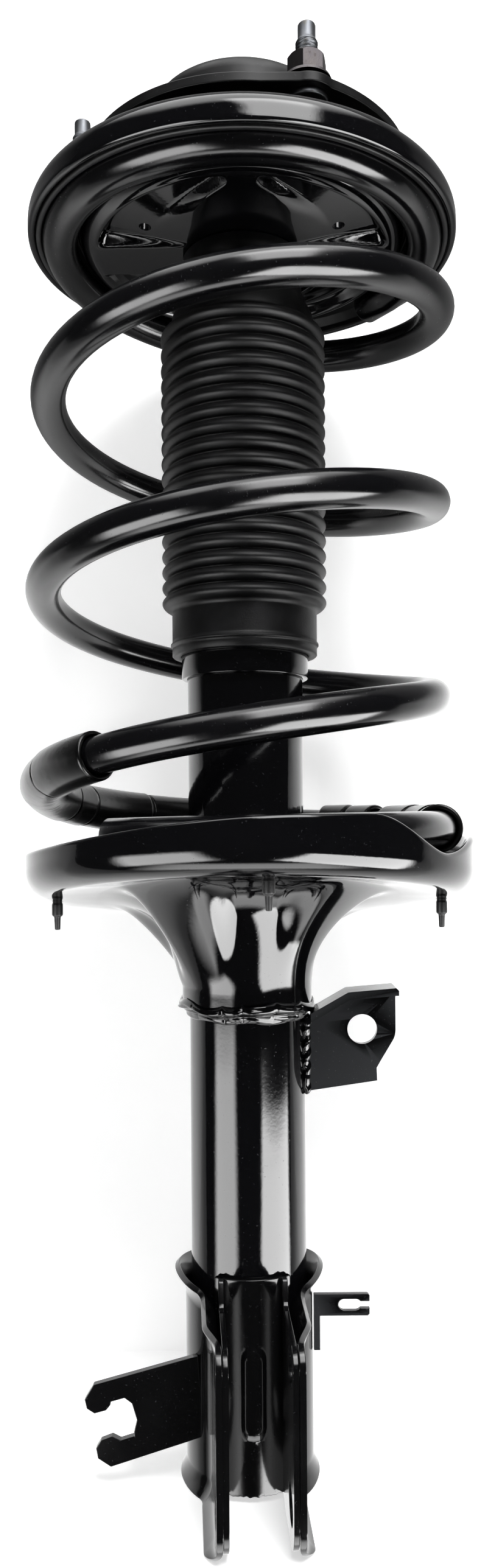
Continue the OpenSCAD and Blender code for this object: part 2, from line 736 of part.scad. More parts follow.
// The pad's section: it lies on the floor, follows the corner and is cut off level at its top.
function pad_loop(q) = let (f = floor_z(q) + lower_sheet + seat_gap, t = pad_top(q),
        c = [lower_r - corner_r, floor_z(q) + corner_r],
        a = asin(min(0, (t - 0.8 - c[1]) / pad_corner_r)))
    concat(level(pad_in_r, c[0] - 1.5, f),
        [for (i = [1:4]) c + pad_corner_r * [cos(-80 + (a + 80) * i / 4), sin(-80 + (a + 80) * i / 4)]],
        [[c[0] + pad_corner_r * cos(a), t - 0.7], [c[0] + pad_corner_r * cos(a) - 0.8, t],
            [pad_in_r + 3, t], [pad_in_r, t - 2]]);

// Rubber pad under the lowest coil; its pegs are pulled through the floor.
module lower_isolator() {
    color(rubber) on_axis() translate([pan_shift, 0, 0]) union() {
        skin([for (i = [0:pad_steps - 1]) let (q = i * 360 / pad_steps - 180) stood(pad_loop(q), q)], true);
        for (q = peg_azimuths) translate(stood([[peg_circle_r, floor_z(q)]], q)[0]) rotate_extrude($fn = 24)
            polygon([[0, -11.5], [peg_r - 0.8, -11.5], [peg_r - 0.6, -6.4], [peg_r + 0.3, -5.6],
                [peg_r + 0.3, -1.4], [peg_r, -0.6], [peg_r, 4.5], [0, 4.5]]);
    }
}

weld_h = 5.5;

// Fillet weld between the collar's lower edge and the tube.
module seat_weld() {
    edge = -seat_collar_low - seat_gap / 2;
    color(pressed) on_axis() rotate_extrude() polygon([[tube_r + seat_gap / 2, edge],
        [tube_r + seat_gap / 2, edge - weld_h], [tube_r + 1, edge - weld_h + 0.2],
        [tube_r + 2, edge - 3.4], [collar_r - 0.4, edge - 1.6], [collar_r - 0.4, edge]]);
}

// ---------- damper ----------

module strut_tube() {
    in_r = tube_r - tube_wall;
    color(painted) on_axis() rotate_extrude() polygon([
        [tube_r, tube_low_z], [tube_r, tube_top_z - 2.5], [tube_r - 0.7, tube_top_z - 0.7],
        [tube_r - 2.5, tube_top_z], [rod_r + 4, tube_top_z], [rod_r + 4, tube_top_z - lip_t],
        [in_r, tube_top_z - lip_t], [in_r, tube_low_z]]);
}

cap_skirt = 14;

// Pressed cap on the tube's top, which the bump stop lands on.
module tube_cap() {
    in_r = cap_out_r - cap_wall;
    color(painted) on_axis() rotate_extrude() polygon([
        [cap_out_r, tube_top_z - cap_skirt], [cap_out_r, tube_top_z + cap_t - 1.5],
        [cap_out_r - 1.5, tube_top_z + cap_t], [rod_r + 2, tube_top_z + cap_t],
        [rod_r + 2, tube_top_z], [in_r, tube_top_z], [in_r, tube_top_z - cap_skirt]]);
}

guide_r = tube_r - tube_wall - seat_gap;
spigot_h = 5;

module rod_guide() {
    color(steel) on_axis() difference() {
        union() {
            ring(rod_r + run_gap, guide_r, guide_low_z + spigot_h, guide_top_z);
            ring(rod_r + run_gap, bore_d / 2 - seat_gap, guide_low_z, guide_low_z + spigot_h);
        }
        ring(rod_r + 3, guide_r - 3, guide_top_z - 3, guide_top_z + 1);
    }
}

module oil_seal() {
    color(rubber) on_axis() ring(rod_r + run_gap, guide_r, seal_top_z - seal_h, seal_top_z);
}

foot_h = 5;
foot_z = tube_low_z + 6;
valve_h = 12;

module pressure_tube() {
    color(steel) on_axis() ring(bore_d / 2, bore_d / 2 + bore_wall, foot_z + foot_h,
        guide_low_z + spigot_h - seat_gap);
}

module base_valve() {
    color(steel) on_axis() difference() {
        union() {
            ring(2.5, bore_d / 2 - seat_gap, foot_z + foot_h, foot_z + valve_h);
            ring(2.5, bore_d / 2 + bore_wall, foot_z, foot_z + foot_h);
        }
        for (i = [0:3]) rotate(i * 90) translate([0, 0, foot_z - 1]) translate([bore_d / 4 + 1, 0, 0])
            cylinder(r = 1.8, h = valve_h + 2);
    }
}

cup_r = tube_r - tube_wall - seat_gap;
cup_h = 8;
cup_t = 2.6;

// Domed cup pressed into the tube's lower end.
module tube_end_cap() {
    path = [[0, tube_low_z - 2.4], [cup_r * 0.5, tube_low_z - 1.9], [cup_r - 4, tube_low_z - 0.2],
        [cup_r - 1, tube_low_z + 1.4], [cup_r, tube_low_z + 3], [cup_r, tube_low_z + cup_h]];
    color(painted) on_axis() rotate_extrude() polygon(concat(path,
        [[cup_r - cup_t, tube_low_z + cup_h], [cup_r - cup_t, tube_low_z + 4.2],
            [cup_r - cup_t - 2.4, tube_low_z + 2.6], [cup_r * 0.5, tube_low_z + 0.8], [0, tube_low_z + 0.3]]));
}

// ---------- knuckle bracket ----------

saddle_in = tube_r + seat_gap;
saddle_out = saddle_in + knuckle_t;
flange_in = flange_gap / 2 + liner_t + seat_gap;
knuckle_top_z = -lower_bolt_z + bolt_spacing + 10.6;
knuckle_low_z = -lower_bolt_z - 16.5;
sweep_r = 12;
sweep_side = flange_in + sweep_r;
sweep_fwd = sqrt(pow(saddle_in + sweep_r, 2) - sweep_side * sweep_side);
top_round = 8;
low_round = 14;

// Places on the right half of the wall's inner face, from the back of the saddle to the flange's
// front edge: across, forwards, and the outward normal.
function half_wall() = let (turn = atan2(sweep_fwd, sweep_side)) concat(
    [for (i = [0:16]) let (a = -90 + (90 + turn) * i / 16)
        [saddle_in * cos(a), saddle_in * sin(a), cos(a), sin(a)]],
    [for (i = [1:6]) let (a = 180 + turn * (1 - i / 6))
        [sweep_side + sweep_r * cos(a), sweep_fwd + sweep_r * sin(a), -cos(a), -sin(a)]],
    [[flange_in, (sweep_fwd + flange_reach - low_round) / 2, 1, 0]],
    [for (i = [0:8]) [flange_in, flange_reach - low_round + low_round * sin(90 * i / 8), 1, 0]]);

function corner_drop(f, r) = let (d = max(f - flange_reach + r, 0)) r - sqrt(max(r * r - d * d, 0));

// Upper and lower edge of the bracket by how far forwards a place is.
function edge_top(f) = knuckle_top_z + 5 * (1 - ease(2, 30, f)) - 2 * (1 - ease(-20, -2, f))
    - corner_drop(f, top_round);
function edge_low(f) = knuckle_low_z - 0.4 * (1 - ease(0, 26, f)) + corner_drop(f, low_round);

// Reach of the rolled lips beyond the wall.
function lip_top(f) = 4.3 * (1 - ease(44, 60, f));
function lip_low(f) = (2.5 + 1.9 * ease(5, 26, f)) * (1 - ease(52, 63, f));

// Outer skin of the bracket's section at a place: outwards and up.
function wall_path(f) = let (t = knuckle_t, a = lip_top(f), b = lip_low(f), z1 = edge_top(f), z0 = edge_low(f))
    [[t + a, z1], [t + 0.55 * a, z1 - 2.6], [t + 0.2 * a, z1 - 5.4], [t, z1 - 9],
        [t, z0 + 7.4], [t + 0.2 * b, z0 + 4.4], [t + 0.55 * b, z0 + 2], [t + b, z0]];

function wall_loop(p, side) = [for (c = sheet(wall_path(p[1]), -knuckle_t))
    [side * (p[0] + c[0] * p[2]), -(p[1] + c[0] * p[3]), c[1]]];

// Pressed bracket: a saddle round the tube, hollow sweeps and two flanges, with one rolled lip
// along its upper edge and one along its lower edge.
module knuckle_bracket() {
    right = half_wall();
    color(painted) on_axis() rotate(flange_yaw) difference() {
        skin(concat([for (i = [len(right) - 1:-1:1]) wall_loop(right[i], -1)],
            [for (p = right) wall_loop(p, 1)]), false);
        bolt_holes();
    }
}

module bolt_holes() {
    for (z = [0, bolt_spacing]) translate([-40, -bolt_reach, -lower_bolt_z + z])
        rotate([0, 90, 0]) cylinder(d = bolt_hole_d, h = 80);
}

liner_reach = flange_reach - 0.7;
liner_low_z = tube_low_z;
bend_r = 2;

// Plan of the liner's right half: a panel over the tube that bends into a leg.
module liner_plan() {
    leg_out = flange_gap / 2 + liner_t;
    leg_in = flange_gap / 2;
    a0 = acos(leg_out / saddle_in);
    face = saddle_in + liner_t;
    bend_x = leg_in - bend_r;
    bend_f = sqrt(pow(face + bend_r, 2) - bend_x * bend_x);
    polygon([for (p = concat(arc([0, 0], saddle_in, 90, a0, 8), [[leg_out, liner_reach], [leg_in, liner_reach]],
        arc([bend_x, bend_f], bend_r, 0, atan2(bend_f, bend_x) - 180, 5),
        arc([0, 0], face, atan2(bend_f, bend_x), 90, 8))) [p[0], -p[1]]]);
}

// Outline of the liner from the side: forwards, then up.
module liner_side() {
    polygon(concat([[10, liner_low_z], [10, knuckle_top_z + 8.5], [saddle_in + liner_t + 1, knuckle_top_z + 8.5],
        [saddle_in + liner_t + 4, knuckle_top_z - 1]],
        arc([liner_reach - top_round, knuckle_top_z - 1 - top_round], top_round, 90, 0, 6),
        arc([liner_reach - low_round, knuckle_low_z + 1 + low_round], low_round, 0, -90, 8),
        [[saddle_in + liner_t + 5, knuckle_low_z + 1], [saddle_in + liner_t + 2, liner_low_z]]));
}

emboss_w = 8.6;
emboss_h = 26;
emboss_rise = 1.2;

// Inner sheet: a panel over the tube with a long raised emboss, and a leg along each flange.
module bracket_liner() {
    mid_z = -lower_bolt_z + bolt_spacing / 2 + 0.5;
    color(painted) on_axis() rotate(flange_yaw) difference() {
        union() {
            intersection() {
                translate([0, 0, knuckle_low_z]) linear_extrude(120)
                    for (side = [0, 1]) mirror([side, 0]) liner_plan();
                rotate([90, 0, -90]) linear_extrude(80, center = true) liner_side();
            }
            intersection() {
                ring(saddle_in + 0.5, saddle_in + liner_t + emboss_rise, mid_z - 30, mid_z + 30);
                translate([0, -15, mid_z]) rotate([90, 0, 0]) linear_extrude(20) union() {
                    square([emboss_w, emboss_h], center = true);
                    for (s = [-1, 1]) translate([0, s * emboss_h / 2]) circle(d = emboss_w);
                }
            }
        }
        bolt_holes();
    }
}

// ---------- side brackets ----------

// Link bracket: heights are from just under the seat collar.
link_base = -seat_collar_low - 2;
link_hole = [45.4, -6.1];
link_fwd = 3;

function link_outline() = concat(
    [[tube_r + 0.6, -30.4], [tube_r + 0.6, 1.4], [39, 10.1], [57.5, 11.6], [58.6, 10.6], [58.6, -6.6]],
    arc([50.6, -6.6], 8, 0, -28, 3),
    [[52.6, -18.7], [51, -21.5], [51.2, -26.5]]);

// The lip bent forwards along the bracket's upper edge.
function link_lip_outline() = [[tube_r + 1.5, 1.9], [39, 10.1], [57.5, 11.6], [58.6, 10.6], [58.6, 8.6],
    [57.5, 8.6], [39.6, 7.1], [tube_r + 1.5, -1.5]];

module link_bracket() {
    color(painted) on_axis() translate([0, -link_fwd, link_base]) difference() {
        union() {
            rotate([90, 0, 0]) linear_extrude(side_t) polygon(link_outline());
            rotate([90, 0, 0]) linear_extrude(link_lip) polygon(link_lip_outline());
        }
        translate([link_hole[0], 5, link_hole[1]]) rotate([90, 0, 0]) cylinder(d = link_hole_d, h = 40);
        translate([0, link_fwd, -60]) cylinder(r = tube_r + seat_gap, h = 120);
        translate([0, link_fwd, 2 - weld_h - seat_gap]) cylinder(r = collar_r + seat_gap, h = 60);
    }
}

// Hose bracket: heights are from the lower bolt hole; the notch opens to the left.
hose_fwd = 14;
hose_base = -lower_bolt_z;
hose_outline = [[-20, 35.8], [-60.4, 24.8], [-63.8, 19.2], [-63, 15.7], [-60, 13.8], [-55.5, 15],
    [-53.8, 17.1], [-53.6, 18.3], [-48.4, 19.7], [-45.6, 17.6], [-43.7, 11.2], [-44.8, 6.7], [-44.7, 5],
    [-50, 3.4], [-53.2, 5], [-57.6, 3.4], [-59.5, 0.4], [-58.8, -3.5], [-53.8, -6.8], [-18, 4.6]];

module hose_bracket() {
    color(painted) on_axis() difference() {
        translate([0, -hose_fwd, hose_base]) rotate([90, 0, 0]) linear_extrude(side_t)
            polygon(hose_outline);
        translate([0, 0, hose_base - 20]) cylinder(r = saddle_out + seat_gap, h = 70);
    }
}

sensor_fwd = 3;
sensor_base = -lower_bolt_z + bolt_spacing + 0.9;
sensor_root = saddle_out + seat_gap;

module sensor_wire_bracket() {
    color(painted) on_axis() translate([0, -sensor_fwd, sensor_base]) rotate([90, 0, 0])
        linear_extrude(sensor_t) difference() {
            polygon([[sensor_root, -18], [sensor_root, 4.4], [47, 4.4], [47.8, 3.6], [47.8, -3.6],
                [47, -4.4], [sensor_root + 2.6, -4.4], [sensor_root + 2.6, -18]]);
            union() {
                translate([37.6, 0]) circle(r = 2.2);
                translate([42.2, 0]) circle(r = 2.2);
                translate([37.6, -2.2]) square([4.6, 4.4]);
                translate([41, -1.3]) square([10, 2.6]);
            }
        }
}

mount_plate();
tower_studs();
stud_nuts();
mount_pan();
mount_bush();
mount_core();
rod_nut();
bearing_upper_race();
bearing_balls();
bearing_lower_race();
upper_spring_seat();
upper_isolator();
boot_cap();
dust_boot();
bump_washer();
bump_stop();
piston_rod();
rebound_stop();
piston();
piston_band();
piston_nut();
coil_spring();
left_sleeve();
rear_sleeve();
lower_isolator();
lower_spring_seat();
seat_weld();
strut_tube();
tube_cap();
rod_guide();
oil_seal();
pressure_tube();
base_valve();
tube_end_cap();
knuckle_bracket();
bracket_liner();
link_bracket();
hose_bracket();
sensor_wire_bracket();
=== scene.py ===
"""Studio looks of a front suspension strut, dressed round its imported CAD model.

Lengths inside the classes are millimetres in the row frame: +Z runs up the strut, the knuckle flanges
point to -Y, and the damper's axis stands 4.8 mm to the +X side of the stud circle. A mesh is turned to
metres when it is made. An azimuth q is counted from -Y towards +X, in degrees.
"""

from __future__ import annotations

import logging
import math
from dataclasses import dataclass
from enum import Enum
from typing import Sequence

import bmesh
import bpy
import numpy as np
from mathutils import Matrix, Vector

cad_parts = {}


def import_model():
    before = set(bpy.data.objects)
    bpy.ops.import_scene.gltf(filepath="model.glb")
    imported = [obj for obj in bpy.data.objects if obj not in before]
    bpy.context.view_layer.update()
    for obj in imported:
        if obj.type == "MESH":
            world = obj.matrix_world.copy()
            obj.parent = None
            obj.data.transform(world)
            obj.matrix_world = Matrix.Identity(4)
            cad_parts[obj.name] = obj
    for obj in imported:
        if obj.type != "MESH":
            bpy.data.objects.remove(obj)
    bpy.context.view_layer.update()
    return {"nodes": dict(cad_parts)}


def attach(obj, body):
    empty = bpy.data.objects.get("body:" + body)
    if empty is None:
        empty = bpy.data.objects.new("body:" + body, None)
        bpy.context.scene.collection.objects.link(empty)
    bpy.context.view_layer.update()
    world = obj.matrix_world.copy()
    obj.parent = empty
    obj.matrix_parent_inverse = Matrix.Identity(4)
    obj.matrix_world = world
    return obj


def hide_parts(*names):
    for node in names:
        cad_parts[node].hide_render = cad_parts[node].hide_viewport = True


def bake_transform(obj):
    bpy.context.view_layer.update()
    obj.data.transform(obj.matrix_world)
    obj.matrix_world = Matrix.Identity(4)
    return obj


LOG = logging.getLogger("strut")
MM = 0.001
AXIS_X = 4.8
FRAME_WIDTH, FRAME_HEIGHT = 813, 2576
WHITE = (1.0, 1.0, 1.0, 1.0)

Array = np.ndarray
Node = bpy.types.Node
Piece = bpy.types.Object
Socket = bpy.types.NodeSocket
Tree = bpy.types.NodeTree


class Body(Enum):
    """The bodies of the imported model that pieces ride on."""

    MOUNT = "mount"
    UPPER_SEAT = "upper_seat"
    HOUSING = "housing"


# ---------------------------------------------------------------- numbers


def ease(low: float, high: float, x: Array | float) -> Array:
    """Smooth step from 0 at low to 1 at high: 3u^2 - 2u^3 of the clipped share u."""
    u = np.clip((np.asarray(x, float) - low) / (high - low), 0.0, 1.0)
    return u * u * (3.0 - 2.0 * u)


def ripple(
    x: Array | float, y: Array | float, seed: int, waves: int = 7, low: float = 1.0, high: float = 6.0
) -> Array:
    """Smooth random field: a mean of sines of the plane, each with its own whole frequency and phase.

    Args:
        x: First coordinate in radians, so the field closes on itself round a ring.
        y: Second coordinate in radians.
        seed: Seed of the frequencies and phases.
        waves: How many sines are summed.
        low: Lowest frequency.
        high: Highest frequency.

    Returns:
        Values of about -1 to 1, in the arguments' common shape.
    """
    draw = np.random.default_rng(seed)
    fx = np.round(draw.uniform(low, high, waves))
    fy = draw.uniform(low, high, waves)
    phase = draw.uniform(0.0, 2.0 * np.pi, waves)
    x, y = np.broadcast_arrays(x, y)
    return np.sin(x[..., None] * fx + y[..., None] * fy + phase).mean(-1) * 2.0


def stacked(*parts: Array | float) -> Array:
    """Coordinates brought to one shape and stacked as points, (..., 2) or (..., 3)."""
    return np.stack(np.broadcast_arrays(*parts), -1)


def circle(steps: int) -> Array:
    """Angles once round in radians, as a column."""
    return np.linspace(0.0, 2.0 * np.pi, steps, endpoint=False)[:, None]


def around(r: Array | float, z: Array | float, a: Array) -> Array:
    """Points at radius r, level z and angle a: (r cos a, r sin a, z)."""
    return stacked(r * np.cos(a), r * np.sin(a), z)


def arc(cx: float, cy: float, r: float, start: float, end: float, steps: int) -> Array:
    """Points of an arc about a centre, from one angle to another in degrees, as an (n, 2) array."""
    a = np.radians(np.linspace(start, end, steps + 1))
    return stacked(cx + r * np.cos(a), cy + r * np.sin(a))


def beside(path: Array, gap: float) -> Array:
    """A path of (..., n, 2) points moved to its left by a gap, along normals of its central differences."""
    d = np.gradient(path, axis=-2)
    d[..., 1:-1, :] = path[..., 2:, :] - path[..., :-2, :]
    d /= np.linalg.norm(d, axis=-1, keepdims=True)
    return path + gap * stacked(-d[..., 1], d[..., 0])


def rounded(outline: Array, radius: float | Array, steps: int = 4) -> Array:
    """Rounds every corner of closed flat outlines.

    Each corner becomes an arc tangent to its two sides: the arc turns from the one tangent point to the
    other about the fillet's centre, on the bisector. A radius too large for its sides is cut down.

    Args:
        outline: Corners as (..., n, 2), in order.
        radius: One radius, or one for each corner.
        steps: Segments of each arc.

    Returns:
        The outlines as (..., n * (steps + 1), 2).
    """
    to_last = np.roll(outline, 1, -2) - outline
    to_next = np.roll(outline, -1, -2) - outline
    len_last = np.linalg.norm(to_last, axis=-1, keepdims=True)
    len_next = np.linalg.norm(to_next, axis=-1, keepdims=True)
    a, b = to_last / len_last, to_next / len_next
    half = np.arccos(np.clip((a * b).sum(-1, keepdims=True), -0.999999, 0.999999)) / 2.0
    r = np.broadcast_to(np.asarray(radius, float), outline.shape[:-1])[..., None]
    reach = np.minimum(r / np.tan(half), 0.45 * np.minimum(len_last, len_next))
    r = reach * np.tan(half)
    way = a + b
    way /= np.maximum(np.linalg.norm(way, axis=-1, keepdims=True), 1e-9)
    centre = outline + way * reach / np.cos(half)
    first, last = outline + a * reach - centre, outline + b * reach - centre
    turn = np.pi - 2.0 * half
    u = np.linspace(0.0, 1.0, steps + 1)[:, None]
    turn, first, last = turn[..., None, :], first[..., None, :], last[..., None, :]
    sine = np.maximum(np.sin(turn), 1e-6)
    bent = (np.sin((1 - u) * turn) * first + np.sin(u * turn) * last) / sine
    points = centre[..., None, :] + np.where(turn < 1e-3, (1 - u) * first + u * last, bent)
    return points.reshape(*outline.shape[:-2], -1, 2)


def resampled(outline: Array, step: float) -> Array:
    """A closed outline with its long sides cut into pieces of about one step, for even shading."""
    nxt = np.roll(outline, -1, 0)
    count = np.maximum(1, np.ceil(np.linalg.norm(nxt - outline, axis=1) / step).astype(int))
    side = np.repeat(np.arange(len(outline)), count)
    first = np.repeat(np.cumsum(count) - count, count)
    u = ((np.arange(count.sum()) - first) / count[side])[:, None]
    return outline[side] * (1 - u) + nxt[side] * u


# ---------------------------------------------------------------- meshes


def grid_quads(rows: int, cols: int, wrap: bool) -> Array:
    """Quads of a grid whose rows are closed loops, as index arithmetic on whole arrays.

    Args:
        rows: Number of loops.
        cols: Points in each loop.
        wrap: True if the last loop joins the first; otherwise the end loops are closed with strips.

    Returns:
        Vertex indices as (faces, 4).
    """
    i, k = np.meshgrid(np.arange(rows if wrap else rows - 1), np.arange(cols), indexing="ij")
    j, n = (i + 1) % rows, (k + 1) % cols
    quads = np.stack([i * cols + k, i * cols + n, j * cols + n, j * cols + k], -1).reshape(-1, 4)
    if wrap:
        return quads
    k = np.arange(cols // 2 - 1)
    j = cols - 2 - k
    strip = np.stack([k, k + 1, j, j + 1], -1)
    return np.concatenate([quads, strip[:, ::-1], strip + (rows - 1) * cols])


def signed_volume(points: Array, quads: Array) -> float:
    """Volume inside quads, by the sum of the tetrahedra that their halves make with the origin."""
    a, b, c, d = (points[quads[:, k]] for k in range(4))
    return float(((a * np.cross(b, c)).sum() + (a * np.cross(c, d)).sum()) / 6.0)


def placed(name: str, data: bpy.types.ID) -> Piece:
    """A new object of some data, linked to the scene."""
    thing = bpy.data.objects.new(name, data)
    bpy.context.scene.collection.objects.link(thing)
    return thing


def mesh_piece(name: str, points: Array, quads: Array) -> Piece:
    """Puts arrays into a smooth-shaded mesh object whose faces point outwards.

    Args:
        name: The piece's name.
        points: Vertices as (n, 3), in mm in the row frame.
        quads: Faces as (m, 4) indices.

    Returns:
        The new object, linked to the scene.
    """
    if signed_volume(points, quads) < 0:
        quads = quads[:, ::-1]
    mesh = bpy.data.meshes.new(name)
    mesh.from_pydata((points * MM).tolist(), [], quads.tolist())
    merge(mesh)
    mesh.shade_smooth()
    return placed(name, mesh)


def merge(mesh: bpy.types.Mesh, dissolve: float = 0.0) -> None:
    """Merges a mesh's doubles, then drops faces without area, or joins coplanar triangles if asked to.

    Args:
        mesh: The mesh to clean.
        dissolve: Greatest angle in radians between faces that become one; 0 leaves them.
    """
    work = bmesh.new()
    work.from_mesh(mesh)
    bmesh.ops.remove_doubles(work, verts=work.verts, dist=2e-7)
    if dissolve:
        bmesh.ops.dissolve_limit(work, angle_limit=dissolve, verts=work.verts, edges=work.edges)
    else:
        bmesh.ops.dissolve_degenerate(work, edges=work.edges, dist=1e-8)
    work.to_mesh(mesh)
    work.free()


def loft(name: str, loops: Array, wrap: bool = True) -> Piece:
    """A solid through closed loops, given as (loops, points, 3) in mm from the damper's axis."""
    rows, cols, _ = loops.shape
    points = loops.reshape(-1, 3) + np.array([AXIS_X, 0.0, 0.0])
    return mesh_piece(name, points, grid_quads(rows, cols, wrap))


def revolved(name: str, outline: Array, steps: int = 128) -> Piece:
    """A closed flat outline of (r, z) points turned about the damper's axis: (r cos a, r sin a, z)."""
    return loft(name, around(outline[:, 0], outline[:, 1], circle(steps)))


def moulded(
    name: str, outline: Sequence, radii: float | Sequence[float], bend: int, step: float, turns: int = 128
) -> Piece:
    """A turned solid from the (r, z) corners of its outline, which are rounded.

    Args:
        name: The piece's name.
        outline: The corners.
        radii: The corners' radius, or one for each.
        bend: Segments of each rounded corner.
        step: Longest side that is left whole, in mm.
        turns: Steps round the axis.

    Returns:
        The piece.
    """
    return revolved(name, resampled(rounded(np.array(outline), radii, bend), step), turns)


def stood(path: Array, q: Array) -> Array:
    """(r, z) points put up at azimuths q in degrees: across r sin q, and r cos q towards -Y."""
    a = np.radians(q)[:, None]
    return stacked(path[..., 0] * np.sin(a), -path[..., 0] * np.cos(a), path[..., 1])


def cylinder_tool(start: Vector, end: Vector, radius: float) -> Piece:
    """A plain round tool for a hole, from one point to another, all in mm in the row frame."""
    steps = 64
    turn = np.array((end - start).to_track_quat("Z", "Y").to_matrix())
    ring = around(radius, 0.0, circle(steps)[:, 0]) @ turn.T
    ends = np.concatenate([ring + np.array(start), ring + np.array(end)])
    return mesh_piece("hole_tool", ends, grid_quads(2, steps, False))


def cut(piece: Piece, tools: Sequence[Piece]) -> None:
    """Cuts tools from a piece for good, with an exact boolean for each, and removes them."""
    for tool in tools:
        bite = piece.modifiers.new("bite", "BOOLEAN")
        bite.operation, bite.object, bite.solver = "DIFFERENCE", tool, "EXACT"
    graph = bpy.context.evaluated_depsgraph_get()
    mesh = bpy.data.meshes.new_from_object(piece.evaluated_get(graph))
    piece.modifiers.clear()
    piece.data = mesh
    for tool in tools:
        bpy.data.objects.remove(tool)


def soften(piece: Piece, width: float, angle: float = 35.0, segments: int = 3) -> None:
    """Breaks a piece's sharp edges by a width in mm, and keeps its flats flat to the eye."""
    bevel = piece.modifiers.new("broken_edges", "BEVEL")
    bevel.width, bevel.segments = width * MM, segments
    bevel.limit_method, bevel.angle_limit = "ANGLE", math.radians(angle)
    bevel.harden_normals = True
    bevel.use_clamp_overlap = True


def creased(piece: Piece, degrees: float, weigh: bool = False) -> Piece:
    """Marks edges sharper than an angle, and if asked to weighs normals by face area for flat flats."""
    piece.data.set_sharp_from_angle(angle=math.radians(degrees))
    if weigh:
        flats(piece)
    return piece


def flats(piece: Piece) -> None:
    """Weights a piece's normals by face area, so that wide flats stay flat beside small radii."""
    piece.modifiers.new("flats", "WEIGHTED_NORMAL").keep_sharp = True


def merged_copy(name: str, source: Piece) -> Piece:
    """A new object with the source's shape, its loose triangles merged and its flats made whole."""
    mesh = source.data.copy()
    mesh.materials.clear()
    merge(mesh, dissolve=math.radians(0.3))
    piece = placed(name, mesh)
    if mesh.has_custom_normals:
        with bpy.context.temp_override(active_object=piece, object=piece, selected_objects=[piece]):
            bpy.ops.mesh.customdata_custom_splitnormals_clear()
    mesh.shade_smooth()
    return creased(piece, 35.0)


# ---------------------------------------------------------------- materials


def linear(colour: str) -> tuple[float, float, float, float]:
    """An sRGB hex colour as linear red, green and blue, with full alpha."""
    parts = [int(colour[k : k + 2], 16) / 255.0 for k in (1, 3, 5)]
    r, g, b = (c / 12.92 if c <= 0.04045 else ((c + 0.055) / 1.055) ** 2.4 for c in parts)
    return r, g, b, 1.0


def add_node(tree: Tree, kind: str, inputs: dict | None = None, **settings: object) -> Node:
    """Adds a node to a tree.

    Args:
        tree: The node tree.
        kind: The node's type name, without the leading ShaderNode.
        inputs: Values or sockets for the node's inputs, by name or number.
        **settings: Properties of the node.

    Returns:
        The new node.
    """
    node = tree.nodes.new("ShaderNode" + kind)
    for key, value in settings.items():
        setattr(node, key, value)
    for key, value in (inputs or {}).items():
        if isinstance(value, Socket):
            tree.links.new(value, node.inputs[key])
        else:
            node.inputs[key].default_value = value
    return node


def calc(tree: Tree, operation: str, *values: Socket | float) -> Socket:
    """The result of one arithmetic node on its values."""
    return add_node(tree, "Math", dict(enumerate(values)), operation=operation).outputs[0]


def spread(
    tree: Tree, value: Socket, low: float, high: float, top: float = 1.0, kind: str = "LINEAR"
) -> Socket:
    """A value carried from low and high to 0 and top, and clamped there, along a curve of some kind."""
    span = {"Value": value, "From Min": low, "From Max": high, "To Max": top}
    return add_node(tree, "MapRange", span, clamp=True, interpolation_type=kind).outputs["Result"]


def blank_tree(owner: bpy.types.ID) -> Tree:
    """The emptied node tree of a material, world or lamp."""
    owner.use_nodes = True
    owner.node_tree.nodes.clear()
    return owner.node_tree


def per_mm(feature: float) -> float:
    """Noise scale whose features are about one length in mm, on Object coordinates in metres."""
    return 1.0 / (feature * MM)


@dataclass
class Coat:
    """A shader in the making, with the tree that it is in and the place that its patterns follow."""

    tree: Tree
    shader: Node
    place: Socket

    def metal(self) -> None:
        """Makes the shader a metal."""
        self.shader.inputs["Metallic"].default_value = 1.0

    def patches(self, size: float, low: float, high: float, detail: float = 3.0) -> Socket:
        """Cloudy values from 0 to 1, as a noise of one feature size in mm between two thresholds."""
        look = {"Vector": self.place, "Scale": per_mm(size), "Detail": detail, "Roughness": 0.55}
        return spread(self.tree, add_node(self.tree, "TexNoise", look).outputs["Fac"], low, high)

    def vary(self, mask: Socket, colour: str, roughness: float, share: float = 1.0) -> None:
        """Moves colour and roughness towards other values where the mask is 1, by a share of the way."""
        if share < 1.0:
            mask = calc(self.tree, "MULTIPLY", mask, share)
        for socket, after, kind, keys in (
            (self.shader.inputs["Base Color"], linear(colour), "RGBA", (6, 7, 2)),
            (self.shader.inputs["Roughness"], roughness, "FLOAT", (2, 3, 0)),
        ):
            before = socket.links[0].from_socket if socket.is_linked else socket.default_value
            first, last, out = keys
            mix = add_node(self.tree, "Mix", {0: mask, first: before, last: after}, data_type=kind)
            self.tree.links.new(mix.outputs[out], socket)

    def relief(self, *layers: tuple[Socket, float]) -> None:
        """Chains bumps, each a height from 0 to 1 and its depth in mm."""
        link: dict[str, Socket] = {}
        for height, depth in layers:
            look = {"Height": height, "Strength": 1.0, "Distance": depth * MM, **link}
            link["Normal"] = add_node(self.tree, "Bump", look).outputs["Normal"]
        self.tree.links.new(link["Normal"], self.shader.inputs["Normal"])


